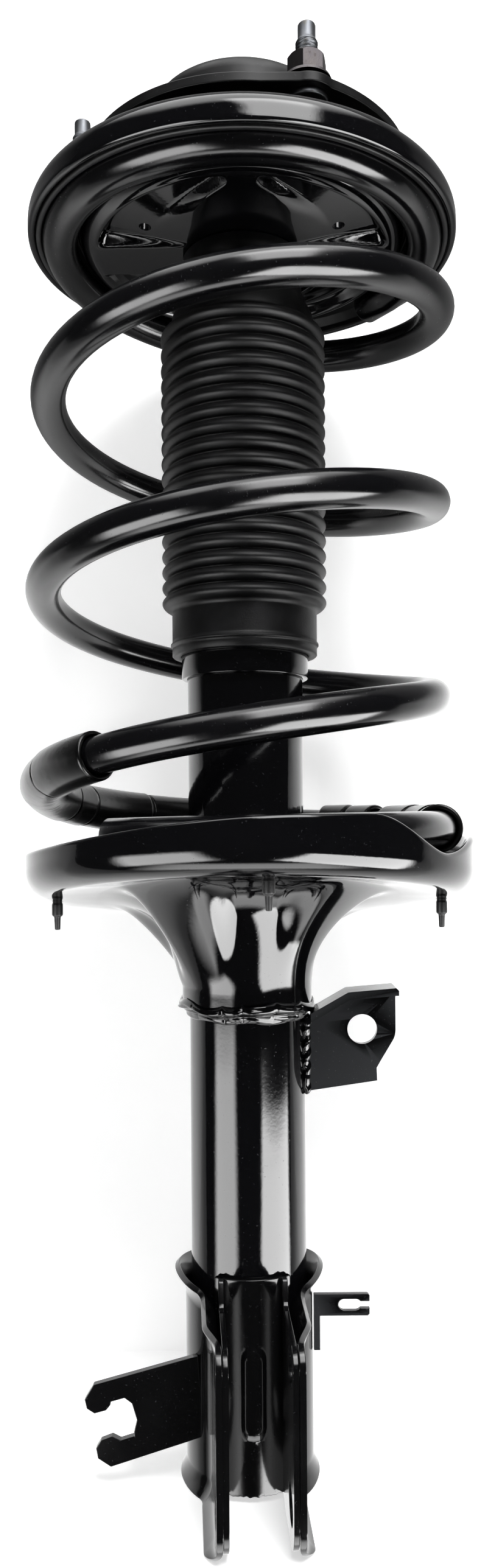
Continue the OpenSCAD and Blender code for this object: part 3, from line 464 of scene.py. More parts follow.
@dataclass(frozen=True)
class Finish:
    """A surface finish. A subclass adds its own nodes to the shader that this class makes."""

    name: str
    colour: str
    roughness: float
    specular: float = 0.5

    def build(self) -> bpy.types.Material:
        """Makes the material, with the finish's pattern on its shader."""
        material = bpy.data.materials.new(self.name)
        tree = blank_tree(material)
        shader = add_node(tree, "BsdfPrincipled", {
            "Base Color": linear(self.colour),
            "Roughness": self.roughness,
            "Specular IOR Level": self.specular,
        })
        add_node(tree, "OutputMaterial", {"Surface": shader.outputs["BSDF"]})
        self.pattern(Coat(tree, shader, add_node(tree, "TexCoord").outputs["Object"]))
        return material

    def pattern(self, coat: Coat) -> None:
        """Adds the finish's own nodes; the plain finish has none."""


@dataclass(frozen=True)
class GlossPaint(Finish):
    """Black epoxy topcoat over dipped primer on pressed steel: deep gloss with a faint orange peel."""

    peel: float = 1.6
    peel_depth: float = 0.006
    sag: float = 14.0
    sag_depth: float = 0.05
    dust: float = 0.35

    def pattern(self, coat: Coat) -> None:
        """Orange peel, slow waves, dull patches, specks of dust, and a painted highlight on sharp edges, also
        standing for handling wear.
        """
        haze = coat.patches(22.0, 0.45, 0.8)
        coat.vary(haze, self.colour, self.roughness * 1.7)
        specks = coat.patches(0.8, 0.70, 0.76, 1.0)
        coat.vary(specks, "#3c3d40", 0.5, self.dust)
        # Painted highlight: sharp edges are lightened towards grey by the mesh's pointiness, as if they catch
        # light.
        crest = add_node(coat.tree, "NewGeometry").outputs["Pointiness"]
        coat.vary(spread(coat.tree, crest, 0.54, 0.66, 0.35), "#55575a", 0.35)
        fine = coat.patches(self.peel, 0.2, 0.8, 1.0)
        slow = coat.patches(self.sag, 0.2, 0.8, 0.0)
        coat.relief((slow, self.sag_depth), (fine, self.peel_depth))


@dataclass(frozen=True)
class SpringCoat(GlossPaint):
    """Epoxy powder coat on cold-wound spring steel: semi-gloss and thick, with soft waves."""


@dataclass(frozen=True)
class Rubber(Finish):
    """Moulded EPDM rubber: satin, slightly grey with bloom, and a fine grain from the mould."""

    grain: float = 0.45
    grain_depth: float = 0.02
    bloom: str = "#3a3a3c"

    def pattern(self, coat: Coat) -> None:
        """Bloom in soft patches, and the mould's grain, drawn a little coarse so that it shows."""
        bloom = coat.patches(9.0, 0.48, 0.85)
        coat.vary(bloom, self.bloom, min(self.roughness + 0.12, 1.0), 0.45)
        grain = coat.patches(self.grain, 0.25, 0.75, 2.0)
        wave = coat.patches(6.0, 0.2, 0.8, 1.0)
        coat.relief((wave, 0.06), (grain, self.grain_depth))


@dataclass(frozen=True)
class ZincPlate(Finish):
    """Bright zinc plate with a clear passivate: soft silver with a faint blue and straw tint."""

    tint: str = "#5f6166"
    straw: str = "#6b675d"

    def pattern(self, coat: Coat) -> None:
        """Tinted clouds, dull handling marks and a crystalline grain."""
        coat.metal()
        coat.vary(coat.patches(4.0, 0.4, 0.75), self.tint, self.roughness * 1.2)
        coat.vary(coat.patches(2.4, 0.58, 0.8), self.straw, self.roughness * 1.5)
        grain = coat.patches(0.35, 0.3, 0.7, 2.0)
        coat.relief((grain, 0.012))


@dataclass(frozen=True)
class TurnedSteel(Finish):
    """Bare turned steel: metal with fine rings round its axis and a thin film of oil."""

    def pattern(self, coat: Coat) -> None:
        """Tool rings along Z, 1.6 mm apart so that they show, and patches of oil."""
        coat.metal()
        coat.vary(coat.patches(7.0, 0.45, 0.8), "#77746e", self.roughness * 0.7)
        look = {"Vector": coat.place, "Scale": per_mm(0.25) / 20.0, "Distortion": 0.6, "Detail": 1.0}
        rings = add_node(coat.tree, "TexWave", look, bands_direction="Z").outputs["Fac"]
        coat.relief((rings, 0.008))


@dataclass(frozen=True)
class HardChrome(Finish):
    """Ground and polished hard chrome: a near mirror with a faint grain."""

    def pattern(self, coat: Coat) -> None:
        """A grain of 0.2 mm in place of grinding lines, which are too fine to see one by one."""
        coat.metal()
        grain = coat.patches(0.2, 0.3, 0.7, 1.0)
        coat.vary(coat.patches(12.0, 0.5, 0.8), self.colour, self.roughness * 1.8)
        coat.relief((grain, 0.0015))


@dataclass(frozen=True)
class Nylon(Finish):
    """Glass-filled nylon as moulded: matt dark grey with short pale fibres near its skin."""

    def pattern(self, coat: Coat) -> None:
        """Fibre mottle at 0.5 mm and a fine etched bump."""
        mottle = coat.patches(0.5, 0.5, 0.8)
        coat.vary(mottle, "#6a6b6e", self.roughness, 0.35)
        coat.relief((coat.patches(0.3, 0.3, 0.7), 0.015))


@dataclass(frozen=True)
class Urethane(Finish):
    """Cellular polyurethane: a straw-coloured foam with a skin of closed pores."""

    def pattern(self, coat: Coat) -> None:
        """Pores of about 0.9 mm as a cell pattern, and browner patches."""
        coat.vary(coat.patches(10.0, 0.4, 0.8), "#8a7440", self.roughness)
        look = {"Vector": coat.place, "Scale": per_mm(0.9)}
        cells = add_node(coat.tree, "TexVoronoi", look).outputs["Distance"]
        coat.relief((cells, 0.05))


class Look:
    """The strut's finishes, each built once."""

    def __init__(self) -> None:
        """Builds the materials."""
        finishes = {
            "plate": GlossPaint("satin_black_on_mount", "#09090a", 0.38, specular=0.25),
            "seat": GlossPaint("black_topcoat_on_seats", "#08080a", 0.065),
            "tube": GlossPaint("black_topcoat_on_tube", "#08080a", 0.07, sag=18.0, sag_depth=0.06),
            "bracket": GlossPaint("black_topcoat_on_brackets", "#0a0a0b", 0.12, specular=0.45),
            "weld": GlossPaint("black_topcoat_over_weld", "#08080a", 0.09, peel=2.4, peel_depth=0.06),
            "spring": SpringCoat("black_powder_coat_on_spring", "#0a0a0c", 0.15, peel=2.2),
            "rubber": Rubber("moulded_rubber", "#0a0a0b", 0.5),
            "sleeve": Rubber(
                "smooth_sleeve_rubber", "#070707", 0.25, specular=0.4, grain_depth=0.004, bloom="#121111"
            ),
            "boot": Rubber("moulded_boot_rubber", "#080809", 0.46, specular=0.3, grain=0.6, bloom="#1e1e20"),
            "zinc": ZincPlate("zinc_plate", "#66686b", 0.42),
            "nut": ZincPlate("dulled_zinc_on_nuts", "#464345", 0.36, tint="#4f4b4a", straw="#3d3836"),
            "steel": TurnedSteel("turned_steel", "#8c8f93", 0.32),
            "chrome": HardChrome("hard_chrome", "#c6c9cd", 0.08),
            "nylon": Nylon("glass_filled_nylon", "#2e2f32", 0.6),
            "band": Nylon("filled_fluoropolymer_band", "#7a5a34", 0.45),
            "foam": Urethane("cellular_polyurethane", "#a08a55", 0.8),
        }
        self.materials = {key: finish.build() for key, finish in finishes.items()}

    def dress(self, piece: Piece, key: str) -> None:
        """Gives a piece one finish in place of whatever it has."""
        piece.data.materials.clear()
        piece.data.materials.append(self.materials[key])


@dataclass
class Assembly:
    """What every sub-assembly needs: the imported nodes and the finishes."""

    nodes: dict[str, Piece]
    look: Look

    def settle(
        self,
        piece: Piece,
        body: Body,
        finish: str,
        slot: str,
        replaces: Sequence[str] = (),
        ride: bool = True,
    ) -> Piece:
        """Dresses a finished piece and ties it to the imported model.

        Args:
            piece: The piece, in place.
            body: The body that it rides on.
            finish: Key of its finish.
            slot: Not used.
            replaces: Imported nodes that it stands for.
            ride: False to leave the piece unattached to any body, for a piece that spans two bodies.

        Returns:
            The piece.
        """
        self.look.dress(piece, finish)
        if ride:
            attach(piece, body.value)
        if replaces:
            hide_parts(*replaces)
        LOG.info("piece %s: %d faces, finish %s", piece.name, len(piece.data.polygons), finish)
        return piece

    def machined(self, node: str, name: str, body: Body, finish: str, slot: str, edge: float) -> Piece:
        """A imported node's own shape with its edges broken by a width in mm."""
        piece = merged_copy(name, self.nodes[node])
        soften(piece, edge)
        return self.settle(piece, body, finish, slot, [node])

    def paint(self, finish: str, *names: str) -> None:
        """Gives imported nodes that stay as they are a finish."""
        for name in names:
            self.look.dress(self.nodes[name], finish)


# ---------------------------------------------------------------- top mount


@dataclass
class TopMount(Assembly):
    """Mount plate with its studs, nuts, pan, rubber bush and core."""

    plate_t: float = 3.5
    stud_pcd: float = 118.0
    stud_azimuth: float = 28.5
    stud_r: float = 4.0
    stud_h: float = 23.0
    thread_pitch: float = 1.25
    thread_low: float = 2.3
    thread_high: float = 16.2
    thread_depth: float = 0.62
    thread_rows: int = 120
    head_r: float = 7.6
    head_t: float = 2.2
    dog_r: float = 3.2
    pan_sheet: float = 2.5

    def build(self) -> None:
        """Builds and dresses the mount."""
        self.machined("mount_plate", "mount_plate_pressing", Body.MOUNT, "plate", "plate_paint", 0.5)
        self.machined("stud_nuts", "stud_flange_nuts", Body.MOUNT, "nut", "zinc", 0.25)
        self.machined("rod_nut", "rod_flange_nut", Body.MOUNT, "zinc", "zinc", 0.3)
        self.settle(self.studs(), Body.MOUNT, "zinc", "zinc", ["tower_studs"])
        self.settle(self.pan(), Body.MOUNT, "plate", "plate_paint", ["mount_pan"])
        self.settle(self.bush(), Body.MOUNT, "rubber", "rubber", ["mount_bush"])
        self.paint("steel", "mount_core")

    def studs(self) -> Piece:
        """Three studs with round heads, helical threads and dog points.

        A stud is a grid of angle a by level: r(z, a) is the outline's radius, less the thread's depth
        times a triangle wave of (z / pitch - a / 2 pi).
        """
        low, shank = -self.plate_t - self.head_t, self.stud_r
        head = np.concatenate([
            [[0.0, low]], arc(self.head_r - 0.7, low + 0.7, 0.7, -90, 0, 5),
            [[self.head_r, -self.plate_t - 0.1], [self.head_r - 0.1, -self.plate_t]],
            [[shank + 0.6, -self.plate_t], [shank + 0.6, -0.1], [shank + 0.25, 0.0]],
            [[shank + 0.25, 1.9], [shank + 0.1, 2.0]],
        ])
        thread = stacked(shank, np.linspace(self.thread_low, self.thread_high, self.thread_rows))
        tip = np.concatenate([
            [[shank - 0.2, 16.5], [self.dog_r + 0.1, 17.4], [self.dog_r, 17.6]],
            arc(self.dog_r - 0.9, self.stud_h - 0.9, 0.9, 0, 90, 6), [[0.0, self.stud_h]],
        ])
        a = circle(48)
        r, z = np.concatenate([head, thread, tip]).T
        turn = (z / self.thread_pitch - a / (2.0 * np.pi)) % 1.0
        groove = np.clip(np.abs(turn - 0.5) * 2.4 - 0.2, 0.0, 1.0)
        begins = ease(self.thread_low, self.thread_low + 0.8, z)
        ends = ease(self.thread_high - 1.0, self.thread_high, z)
        loops = around(r - self.thread_depth * begins * (1.0 - ends) * groove, z, a)
        places = np.radians(self.stud_azimuth - 90.0 + 120.0 * np.arange(3))
        centres = around(self.stud_pcd / 2, 0.0, places)
        points = (loops.reshape(1, -1, 3) + centres[:, None]).reshape(-1, 3)
        rows, cols = loops.shape[:2]
        i, k = np.meshgrid(np.arange(rows), np.arange(cols - 1), indexing="ij")
        here, there = i * cols + k, (i + 1) % rows * cols + k
        one = np.stack([here, here + 1, there + 1, there], -1)
        quads = (one.reshape(1, -1, 4) + (np.arange(3) * rows * cols)[:, None, None]).reshape(-1, 4)
        return creased(mesh_piece("tower_studs_threaded", points, quads), 50.0)

    def pan(self) -> Piece:
        """Pressed lower pan: the sheet between a path of (r, z) points and its offset, edges rounded."""
        path = np.array([[47.5, -6.0], [44.0, -6.0], [42.0, -18.0], [39.0, -21.0], [19.0, -21.0]])
        outline = np.concatenate([path, beside(path, -self.pan_sheet)[::-1]])
        radii = np.array([0.8, 2.0, 3.0, 3.0, 0.8, 0.8, 1.6, 1.6, 2.4, 0.8])
        return moulded("mount_lower_pan", outline, radii, 6, 2.5)

    def bush(self) -> Piece:
        """Rubber bush bonded round the core, with a hollow round its top."""
        outline = [
            [13.05, -18.3], [35.0, -18.3], [36.4, -15.4], [33.3, -11.4], [33.3, 11.4], [30.4, 15.4],
            [27.4, 14.4], [20.5, 5.0], [16.6, 3.1], [13.05, 3.1],
        ]
        return moulded("mount_rubber_bush", outline, 1.4, 4, 2.0, 96)


@dataclass
class SteeringBearing(Assembly):
    """Races and balls between the mount and the upper seat."""

    def build(self) -> None:
        """Dresses the bearing's own nodes."""
        self.paint("nylon", "bearing_upper_race", "bearing_lower_race")
        self.paint("steel", "bearing_balls")


# ---------------------------------------------------------------- upper seat


@dataclass
class UpperSeat(Assembly):
    """Pressed upper spring seat and the rubber isolator in its rim."""

    sheet: float = 3.0
    seat_r: float = 84.3
    disc_r: float = 58.0
    hub_r: float = 16.0
    disc_top: float = -31.0
    crown: float = -18.2
    crown_round: float = 8.0
    rim_low: float = -29.6
    pocket_h: float = 5.0
    rib_half_w: float = 11.0
    field_in: float = 17.5
    field_out: float = 55.0
    hole_r: float = 2.35
    hole_ring: float = 42.0
    hole_spread: float = 62.0
    steps: int = 432

    def build(self) -> None:
        """Builds and dresses the seat."""
        self.settle(self.seat(), Body.UPPER_SEAT, "seat", "seat_paint", ["upper_spring_seat"])
        self.settle(self.isolator(), Body.UPPER_SEAT, "rubber", "rubber", ["upper_isolator"])

    def lift(self, r: Array, a: Array) -> Array:
        """How far the pressed pockets rise at a radius and angle.

        A pocket's floor is a cone from the hub to its depth at the outer arc, where a smooth step takes
        it down. Smooth steps also part the pockets at the straight ribs along X and at the gussets
        along Y, which narrow outwards and fade towards the hub.
        """
        x, y = np.abs(r * np.cos(a)), np.abs(r * np.sin(a))
        tall = 12.5 - 7.0 * ease(46.0, self.field_out, r)
        soft = 3.0 + 20.0 * (1 - ease(38.0, 50.0, r))
        cone = np.clip((r - self.field_in) / (self.field_out - self.field_in), 0.0, 1.0)
        arcs = cone * (1 - ease(self.field_out - 1.0, self.field_out + 3.4, r))
        ribs = ease(tall - 0.5, tall + soft, x) * ease(self.rib_half_w - 1.0, self.rib_half_w + 3.4, y)
        return self.pocket_h * arcs * ribs

    def seat(self) -> Piece:
        """The seat as one sheet: hub, disc with four pockets, wall, crown over the coil, and rim.

        The upper skin is a path of (r, z); the lower skin is its offset by the sheet's thickness. Both
        are raised by lift() over the disc, and the edges at the hub and rim are half round.
        """
        wall = np.array([[58.0, -31.0], [60.6, -29.4], [63.0, -22.2], [64.6, -19.4], [67.0, self.crown]])
        half, wide = self.sheet / 2, self.crown_round
        disc = stacked(np.linspace(self.hub_r + half, self.disc_r - 0.6, 52), self.disc_top)
        crown = stacked(np.linspace(68.0, self.seat_r - wide - 0.4, 6), self.crown)
        rim = arc(self.seat_r - wide, self.crown - wide, wide, 88, 0, 16)
        skirt = stacked(self.seat_r, np.linspace(self.crown - wide - 0.8, self.rim_low, 4))
        upper = np.concatenate([disc, self.curve(wall), crown, rim, skirt])
        lower = beside(upper, -self.sheet)[::-1]
        hub = arc(self.hub_r + half, self.disc_top - half, half, 270, 90, 8)[1:-1]
        edge = arc(self.seat_r - half, self.rim_low, half, 0, -180, 8)[1:-1]
        r, z = np.concatenate([upper, edge, lower, hub]).T
        a = circle(self.steps)
        piece = loft("upper_seat_pressing", around(r, z + self.lift(r, a), a))
        cut(piece, self.drills())
        return creased(piece, 50.0)

    def curve(self, wall: Array) -> Array:
        """A smooth path of 25 even steps through a wall's corners, each rounded by 4 mm."""
        ends = np.concatenate([wall[:1] - [3.0, 0.0], wall, wall[-1:] + [3.0, 0.0]])
        fine = rounded(ends, 4.0, 8)[9:-9]
        walk = np.concatenate([[0.0], np.cumsum(np.linalg.norm(np.diff(fine, axis=0), axis=1))])
        at = np.linspace(0.0, 1.0, 25) * walk[-1]
        return stacked(np.interp(at, walk, fine[:, 0]), np.interp(at, walk, fine[:, 1]))

    def drills(self) -> list[Piece]:
        """Tools for the two small holes in the pockets either side of the front rib."""
        tools = []
        for side in (-1.0, 1.0):
            a = math.radians(-90.0 + side * self.hole_spread)
            x, y = AXIS_X + self.hole_ring * math.cos(a), self.hole_ring * math.sin(a)
            tools.append(cylinder_tool(Vector((x, y, -40.0)), Vector((x, y, -20.0)), self.hole_r))
        return tools

    def isolator(self) -> Piece:
        """Rubber ring over the top coil, with a lip inside the seat's rim."""
        outline = [
            [81.2, -31.6], [81.2, -26.0], [77.6, -21.3], [68.0, -21.3], [65.6, -24.6], [64.9, -27.0],
            [66.5, -25.4], [72.0, -23.9], [76.9, -25.8], [79.1, -29.0], [79.1, -31.6],
        ]
        return moulded("upper_rubber_isolator", outline, 0.7, 3, 1.5, 160)


# ---------------------------------------------------------------- spring


@dataclass
class CoilSpring(Assembly):
    """Cold-wound coil spring and the rubber sleeves on its lowest coil."""

    wire_r: float = 6.8
    coil_r: float = 76.8
    top_coil_r: float = 72.0
    turns: float = 4.41
    start: float = -118.0
    bow_mm: float = 2.6
    low_z: float = -264.0
    high_z: float = -31.0
    height: float = 233.0
    end_slope: float = 0.02
    low_closed: float = 158.0
    low_open: float = 313.0
    sleeve_r: float = 9.5
    bore_r: float = 7.6
    groove: float = 1.1
    taper: float = 0.45
    stations_per_turn: int = 90
    sides: int = 36

    def __post_init__(self) -> None:
        """Works out the sweep and the slope of the free coils."""
        self.sweep = 360.0 * self.turns
        self.high_open = self.sweep - 320.0
        self.high_closed = self.sweep - 206.0
        closed = self.end_slope * (self.low_closed + self.low_open) / 2.0
        run = (self.low_open - self.low_closed) / 2 + (self.high_open - self.low_open)
        self.slope = (self.height - closed) / (run + (self.high_closed - self.high_open) / 2)

    def build(self) -> None:
        """Builds the wire and its sleeves."""
        self.crossing(self.wire(), "spring", "spring_coat", ["coil_spring"])
        for name, joints, replaces in (
            ("left_coil_sleeve", (213.0, 243.0, 271.0, 283.0, 305.0, 326.0, 349.0), ["left_sleeve"]),
            ("rear_coil_sleeve", (103.0, 120.0, 136.0, 152.0), ["rear_sleeve"]),
            ("rear_coil_sleeve_end", (157.0, 168.0, 179.0), []),
        ):
            self.crossing(self.sleeve(name, np.array(joints)), "sleeve", "rubber", replaces)

    def crossing(self, piece: Piece, finish: str, slot: str, replaces: list[str]) -> None:
        """Settles a piece that stretches from the lower seat to the upper one."""
        self.settle(piece, Body.HOUSING, finish, slot, replaces, ride=False)
        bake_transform(piece)

    def climb(self, s: Array) -> Array:
        """Height over the lower end after a sweep of s degrees: a ramp in slope at each end."""
        a = np.clip(s - self.low_closed, 0.0, self.low_open - self.low_closed)
        b = np.clip(s - self.high_open, 0.0, self.high_closed - self.high_open)
        free = np.clip(s - self.low_open, 0.0, self.high_open - self.low_open)
        ramp = (self.slope - self.end_slope) * a * a / (2 * (self.low_open - self.low_closed))
        fade = self.slope * (b - b * b / (2 * (self.high_closed - self.high_open)))
        return self.end_slope * (np.minimum(s, self.low_closed) + a) + ramp + self.slope * free + fade

    def centre(self, s: Array) -> Array:
        """The wire's centre after a sweep of s degrees: R cos a less the bow, R sin a, and its height."""
        r = self.coil_r - (self.coil_r - self.top_coil_r) * ease(self.high_open - 70, self.high_open + 70, s)
        back = ease(self.high_open - 540, self.high_open - 180, s)
        bow = self.bow_mm * ease(20, self.low_open - 30, s) * (1 - back)
        a = np.radians(self.start + s)
        return stacked(r * np.cos(a) - bow, r * np.sin(a), self.low_z + self.climb(s))

    def rings(self, s: Array, radius: Array, sides: int) -> Array:
        """Circles round the wire: centre + r (cos k out + sin k across), square to its direction."""
        way = self.centre(s + 1.0) - self.centre(s - 1.0)
        way /= np.linalg.norm(way, axis=1, keepdims=True)
        a = np.radians(self.start + s)
        out = around(1.0, 0.0, a)
        out -= (out * way).sum(1, keepdims=True) * way
        out /= np.linalg.norm(out, axis=1, keepdims=True)
        across = np.cross(out, way)
        k = circle(sides)[None]
        r = np.reshape(radius, (-1, 1, 1))
        return self.centre(s)[:, None] + r * (np.cos(k) * out[:, None] + np.sin(k) * across[:, None])

    def wire(self) -> Piece:
        """The wire: rings on its centre line, with a straight tail at each end and cropped edges."""
        s = np.linspace(0.0, self.sweep, round(self.stations_per_turn * self.turns) + 1)
        body = self.rings(s, np.full(len(s), self.wire_r), self.sides)
        half = 90.0 * 2 * self.wire_r / (math.pi * self.top_coil_r)
        ends = []
        for at, sign in ((0.0, -1.0), (self.sweep, 1.0)):
            lean = np.array([at + sign * half])
            way = sign * (self.centre(lean + 1.0) - self.centre(lean - 1.0))
            way /= np.linalg.norm(way)
            middle = self.centre(np.array([at]))[0]
            ring = self.rings(np.array([at]), np.array([self.wire_r]), self.sides)[0]
            tail = 2 * self.wire_r
            crop = ((tail - 0.5, 1.0), (tail - 0.1, 0.96), (tail, 0.9))
            ends.append([middle + (ring - middle) * k + way * d for d, k in crop])
        loops = np.concatenate([np.stack(ends[0][::-1]), body, np.stack(ends[1])])
        return loft("coil_spring_wire", loops, wrap=False)

    def sleeve(self, name: str, joints: Array) -> Piece:
        """A run of rubber sleeves butted end to end, each thicker at one end, with grooves between."""
        s = np.linspace(joints[0] + 0.4, joints[-1] - 0.4, int((joints[-1] - joints[0]) * 5))
        gap = np.abs(s[:, None] - joints).min(1)
        dip = self.groove * np.exp(-((gap / 0.5) ** 2))
        number = np.searchsorted(joints, s) - 1
        share = (s - joints[number]) / np.diff(joints)[number]
        uneven = 0.03 * (1 + ripple(np.radians(s * 3), 0.0, 5))
        girth = self.sleeve_r - 0.02 - dip - self.taper * share - uneven
        outer = self.rings(s, girth, self.sides)
        inner = self.rings(s, np.full(len(s), self.bore_r), self.sides)
        return loft(name, np.concatenate([outer, inner[::-1]]).transpose(1, 0, 2))


# ---------------------------------------------------------------- boot and bump stop


@dataclass
class DustBoot(Assembly):
    """Ribbed rubber boot, its cap ring, and the bump stop inside it."""

    rib_r: float = 32.8
    valley_r: float = 29.0
    neck_r: float = 23.6
    collar_r: float = 28.9
    wall: float = 1.6
    ribs: int = 18
    top: float = -34.0
    rib_top: float = -64.0
    collar_top: float = -175.0
    collar_low: float = -193.0
    cap_r: float = 25.2
    stop_top: float = -39.6
    stop_h: float = 60.8
    stop_bore: float = 10.15
    points_per_rib: int = 14

    def build(self) -> None:
        """Builds the boot, which spans from the seat to the tube, and what it covers."""
        boot = self.settle(self.boot(), Body.UPPER_SEAT, "boot", "boot_rubber", ["dust_boot"], ride=False)
        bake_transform(boot)
        self.settle(self.bump_stop(), Body.MOUNT, "foam", "bump_foam", ["bump_stop"])
        self.paint("nylon", "boot_cap")
        self.paint("steel", "bump_washer")

    def skin(self, n: int) -> Array:
        """Outer skin as (r, z): a rib's radius goes from valley to crest by |sin|^0.6 of its share."""
        u = np.linspace(0.0, self.ribs, self.ribs * n + 1)
        pitch = (self.rib_top - self.collar_top) / self.ribs
        swell = (self.rib_r - self.valley_r) * np.abs(np.sin(np.pi * u)) ** 0.6
        ribs = stacked(self.valley_r + swell, self.rib_top - pitch * u)
        neck = np.array([
            [self.neck_r, self.top - 0.6], [self.neck_r, -41.0], [self.neck_r, -48.0], [25.4, -53.4],
            [28.0, -58.0], [self.valley_r, -63.0],
        ])
        band = arc(self.collar_r - 0.1, self.collar_low + 4.5, 0.8, 80, -80, 6)
        collar = np.concatenate([
            [[self.collar_r, self.collar_top - 1.5], [self.collar_r, -181.0], [self.collar_r, -186.6]], band,
            [[self.collar_r, -190.2], [self.collar_r, -192.6], [self.collar_r - 0.4, self.collar_low]],
        ])
        return np.concatenate([neck, ribs, collar])

    def boot(self) -> Piece:
        """The boot: its outer skin, and an inner one a wall's thickness in, closed by a lip on the cap."""
        outer = self.skin(self.points_per_rib)
        inner = self.skin(6) - [self.wall, 0.0]
        cap, low = self.cap_r, self.collar_low
        lip = np.array([
            [cap + 0.4, low], [cap + 0.3, low + 0.8], [cap + 0.4, low + 1.6], [inner[-1, 0], low + 1.7],
        ])
        inner[-1, 1] = low + 2.2
        outline = np.concatenate([outer, lip, inner[::-1]])
        return revolved("ribbed_dust_boot", outline, 112)

    def bump_stop(self) -> Piece:
        """Cellular bump stop: rolls and waists as r = 18 - 4u - 2 sin^2(3 pi u) down its length."""
        u = np.linspace(0.0, 1.0, 61)
        r = 18.0 - 4.0 * u - 2.0 * np.sin(3 * np.pi * u) ** 2
        r[0], r[-1] = r[0] - 0.8, r[-1] - 0.8
        side = stacked(r, self.stop_top - self.stop_h * u)
        bore = stacked(self.stop_bore, np.linspace(self.stop_top - self.stop_h, self.stop_top, 12))
        return revolved("cellular_bump_stop", np.concatenate([side, bore]), 96)


# ---------------------------------------------------------------- lower seat


@dataclass
class LowerSeat(Assembly):
    """Tilted pan on a fluted funnel, its rubber pad and the weld under its collar."""

    sheet: float = 2.8
    seat_r: float = 88.2
    shift: float = 1.2
    corner: float = 9.5
    floor_z0: float = -277.1
    tilt: float = 13.0
    collar_r: float = 25.9
    collar_low: float = -333.0
    collar_h: float = 9.0
    floor_in_r: float = 60.0
    flare_r: float = 40.7
    flutes: int = 4
    flute_at: float = 7.0
    flute_depth: float = 0.5
    ridge_lift: float = 0.2
    wall_h: float = 20.6
    pegs: tuple[float, ...] = (-90.0, 4.6, 90.0, 180.0)
    peg_ring: float = 77.0
    peg_r: float = 1.9
    wire_r: float = 6.8
    low_coil: float = -264.0
    weld_high: float = -328.0
    weld_low: float = -336.2
    tube_r: float = 23.0
    steps: int = 288

    def build(self) -> None:
        """Builds and dresses the seat."""
        self.settle(self.seat(), Body.HOUSING, "seat", "seat_paint", ["lower_spring_seat"])
        self.settle(self.pad(), Body.HOUSING, "rubber", "rubber", ["lower_isolator"])
        self.settle(self.weld(), Body.HOUSING, "weld", "weld", ["seat_weld"])

    def floor(self, q: Array) -> Array:
        """Underside of the floor by azimuth: it falls away from the near side as a cosine."""
        return self.floor_z0 - self.tilt + self.tilt * np.cos(np.radians(q))

    def rim(self, q: Array) -> Array:
        """Top of the rim: high in front, falling slowly on the left and steeply on the right."""
        back = 14.0 * (1 - ease(-85, 12, q) * (1 - ease(28, 54, q)))
        return self.floor_z0 + self.wall_h - back + 5.5 * ease(54, 80, q) * (1 - ease(95, 125, q))

    def flare(self, q: Array, t: Array) -> Array:
        """The funnel's flare as a cubic Bezier from collar to floor, drawn in along its flutes.

        A flute's section is a smooth step of a cosine wave, so ridges and valleys have broad tops and
        crisp sides.

        Args:
            q: Azimuths as (n, 1).
            t: Shares of the flare as (1, m).

        Returns:
            (r, z) as (n, m, 2).
        """
        z0, z1 = self.collar_low + self.collar_h, self.floor(q)
        side = np.sin(np.radians(q))
        u = 1 - t
        w0, w1, w2, w3 = u**3, 3 * u * u * t, 3 * u * t * t, t**3
        r0, r2 = self.collar_r, self.flare_r - 2.6 * side
        r = w0 * r0 + w1 * (r0 + 0.4) + w2 * r2 + w3 * self.floor_in_r
        z = w0 * z0 + w1 * (z0 + (0.2 + 0.18 * side) * (z1 - z0)) + w2 * (z1 - 1) + w3 * z1
        wave = ease(0.18, 0.82, (1 + np.cos(np.radians(self.flutes * (q - self.flute_at)))) / 2)
        left = 1 - np.sin(np.pi * t) * (self.flute_depth * wave - self.ridge_lift * (1 - wave))
        return stacked(r0 + (r - r0) * left, z)

    def seat(self) -> Piece:
        """The pan as a sheet: its path at each azimuth, the path's offset, and a rounded rim."""
        q = np.linspace(-180.0, 180.0, self.steps, endpoint=False)[:, None]
        level = 0.0 * q
        low = np.linspace(self.collar_low + 0.5, self.collar_low + self.collar_h - 0.6, 6)[None]
        collar = stacked(self.collar_r + level, low)
        funnel = self.flare(q, np.linspace(0.03, 1.0, 30)[None])
        f = self.floor(q)
        ground = stacked(np.linspace(self.floor_in_r + 1.2, self.seat_r - self.corner - 0.2, 10)[None], f)
        bend = np.radians(np.linspace(-86.0, 0.0, 12))[None]
        centre = f + self.corner
        turn = stacked(
            self.seat_r - self.corner + self.corner * np.cos(bend), centre + self.corner * np.sin(bend)
        )
        top = self.rim(q) - self.sheet / 2
        wall = stacked(self.seat_r, centre + np.linspace(0.12, 1.0, 8)[None] * (top - f - self.corner))
        outer = np.concatenate([collar, funnel, ground, turn, wall], 1)
        inner = beside(outer, self.sheet)[:, ::-1]
        a = np.radians(np.linspace(0.0, 180.0, 9)[1:-1])[None]
        half = self.sheet / 2
        cos, sin = np.cos(a), np.sin(a)
        lip = stacked(self.seat_r - half + half * cos, top + half * sin)
        foot = stacked(self.collar_r - half - half * cos + level, self.collar_low + 0.5 - 0.5 * sin)
        loops = stood(np.concatenate([outer, lip, inner, foot], 1), q[:, 0])
        reach = np.hypot(loops[..., 0], loops[..., 1])
        loops[..., 0] += self.shift * ease(self.collar_r, self.floor_in_r, reach)
        piece = loft("lower_seat_pressing", loops)
        tools = []
        for at in self.pegs:
            z = float(self.floor(np.array(at)))
            x, y = self.peg_place(at)
            x += AXIS_X
            tools.append(cylinder_tool(Vector((x, y, z - 4.0)), Vector((x, y, z + 8.0)), self.peg_r + 0.2))
        cut(piece, tools)
        flats(piece)
        return piece

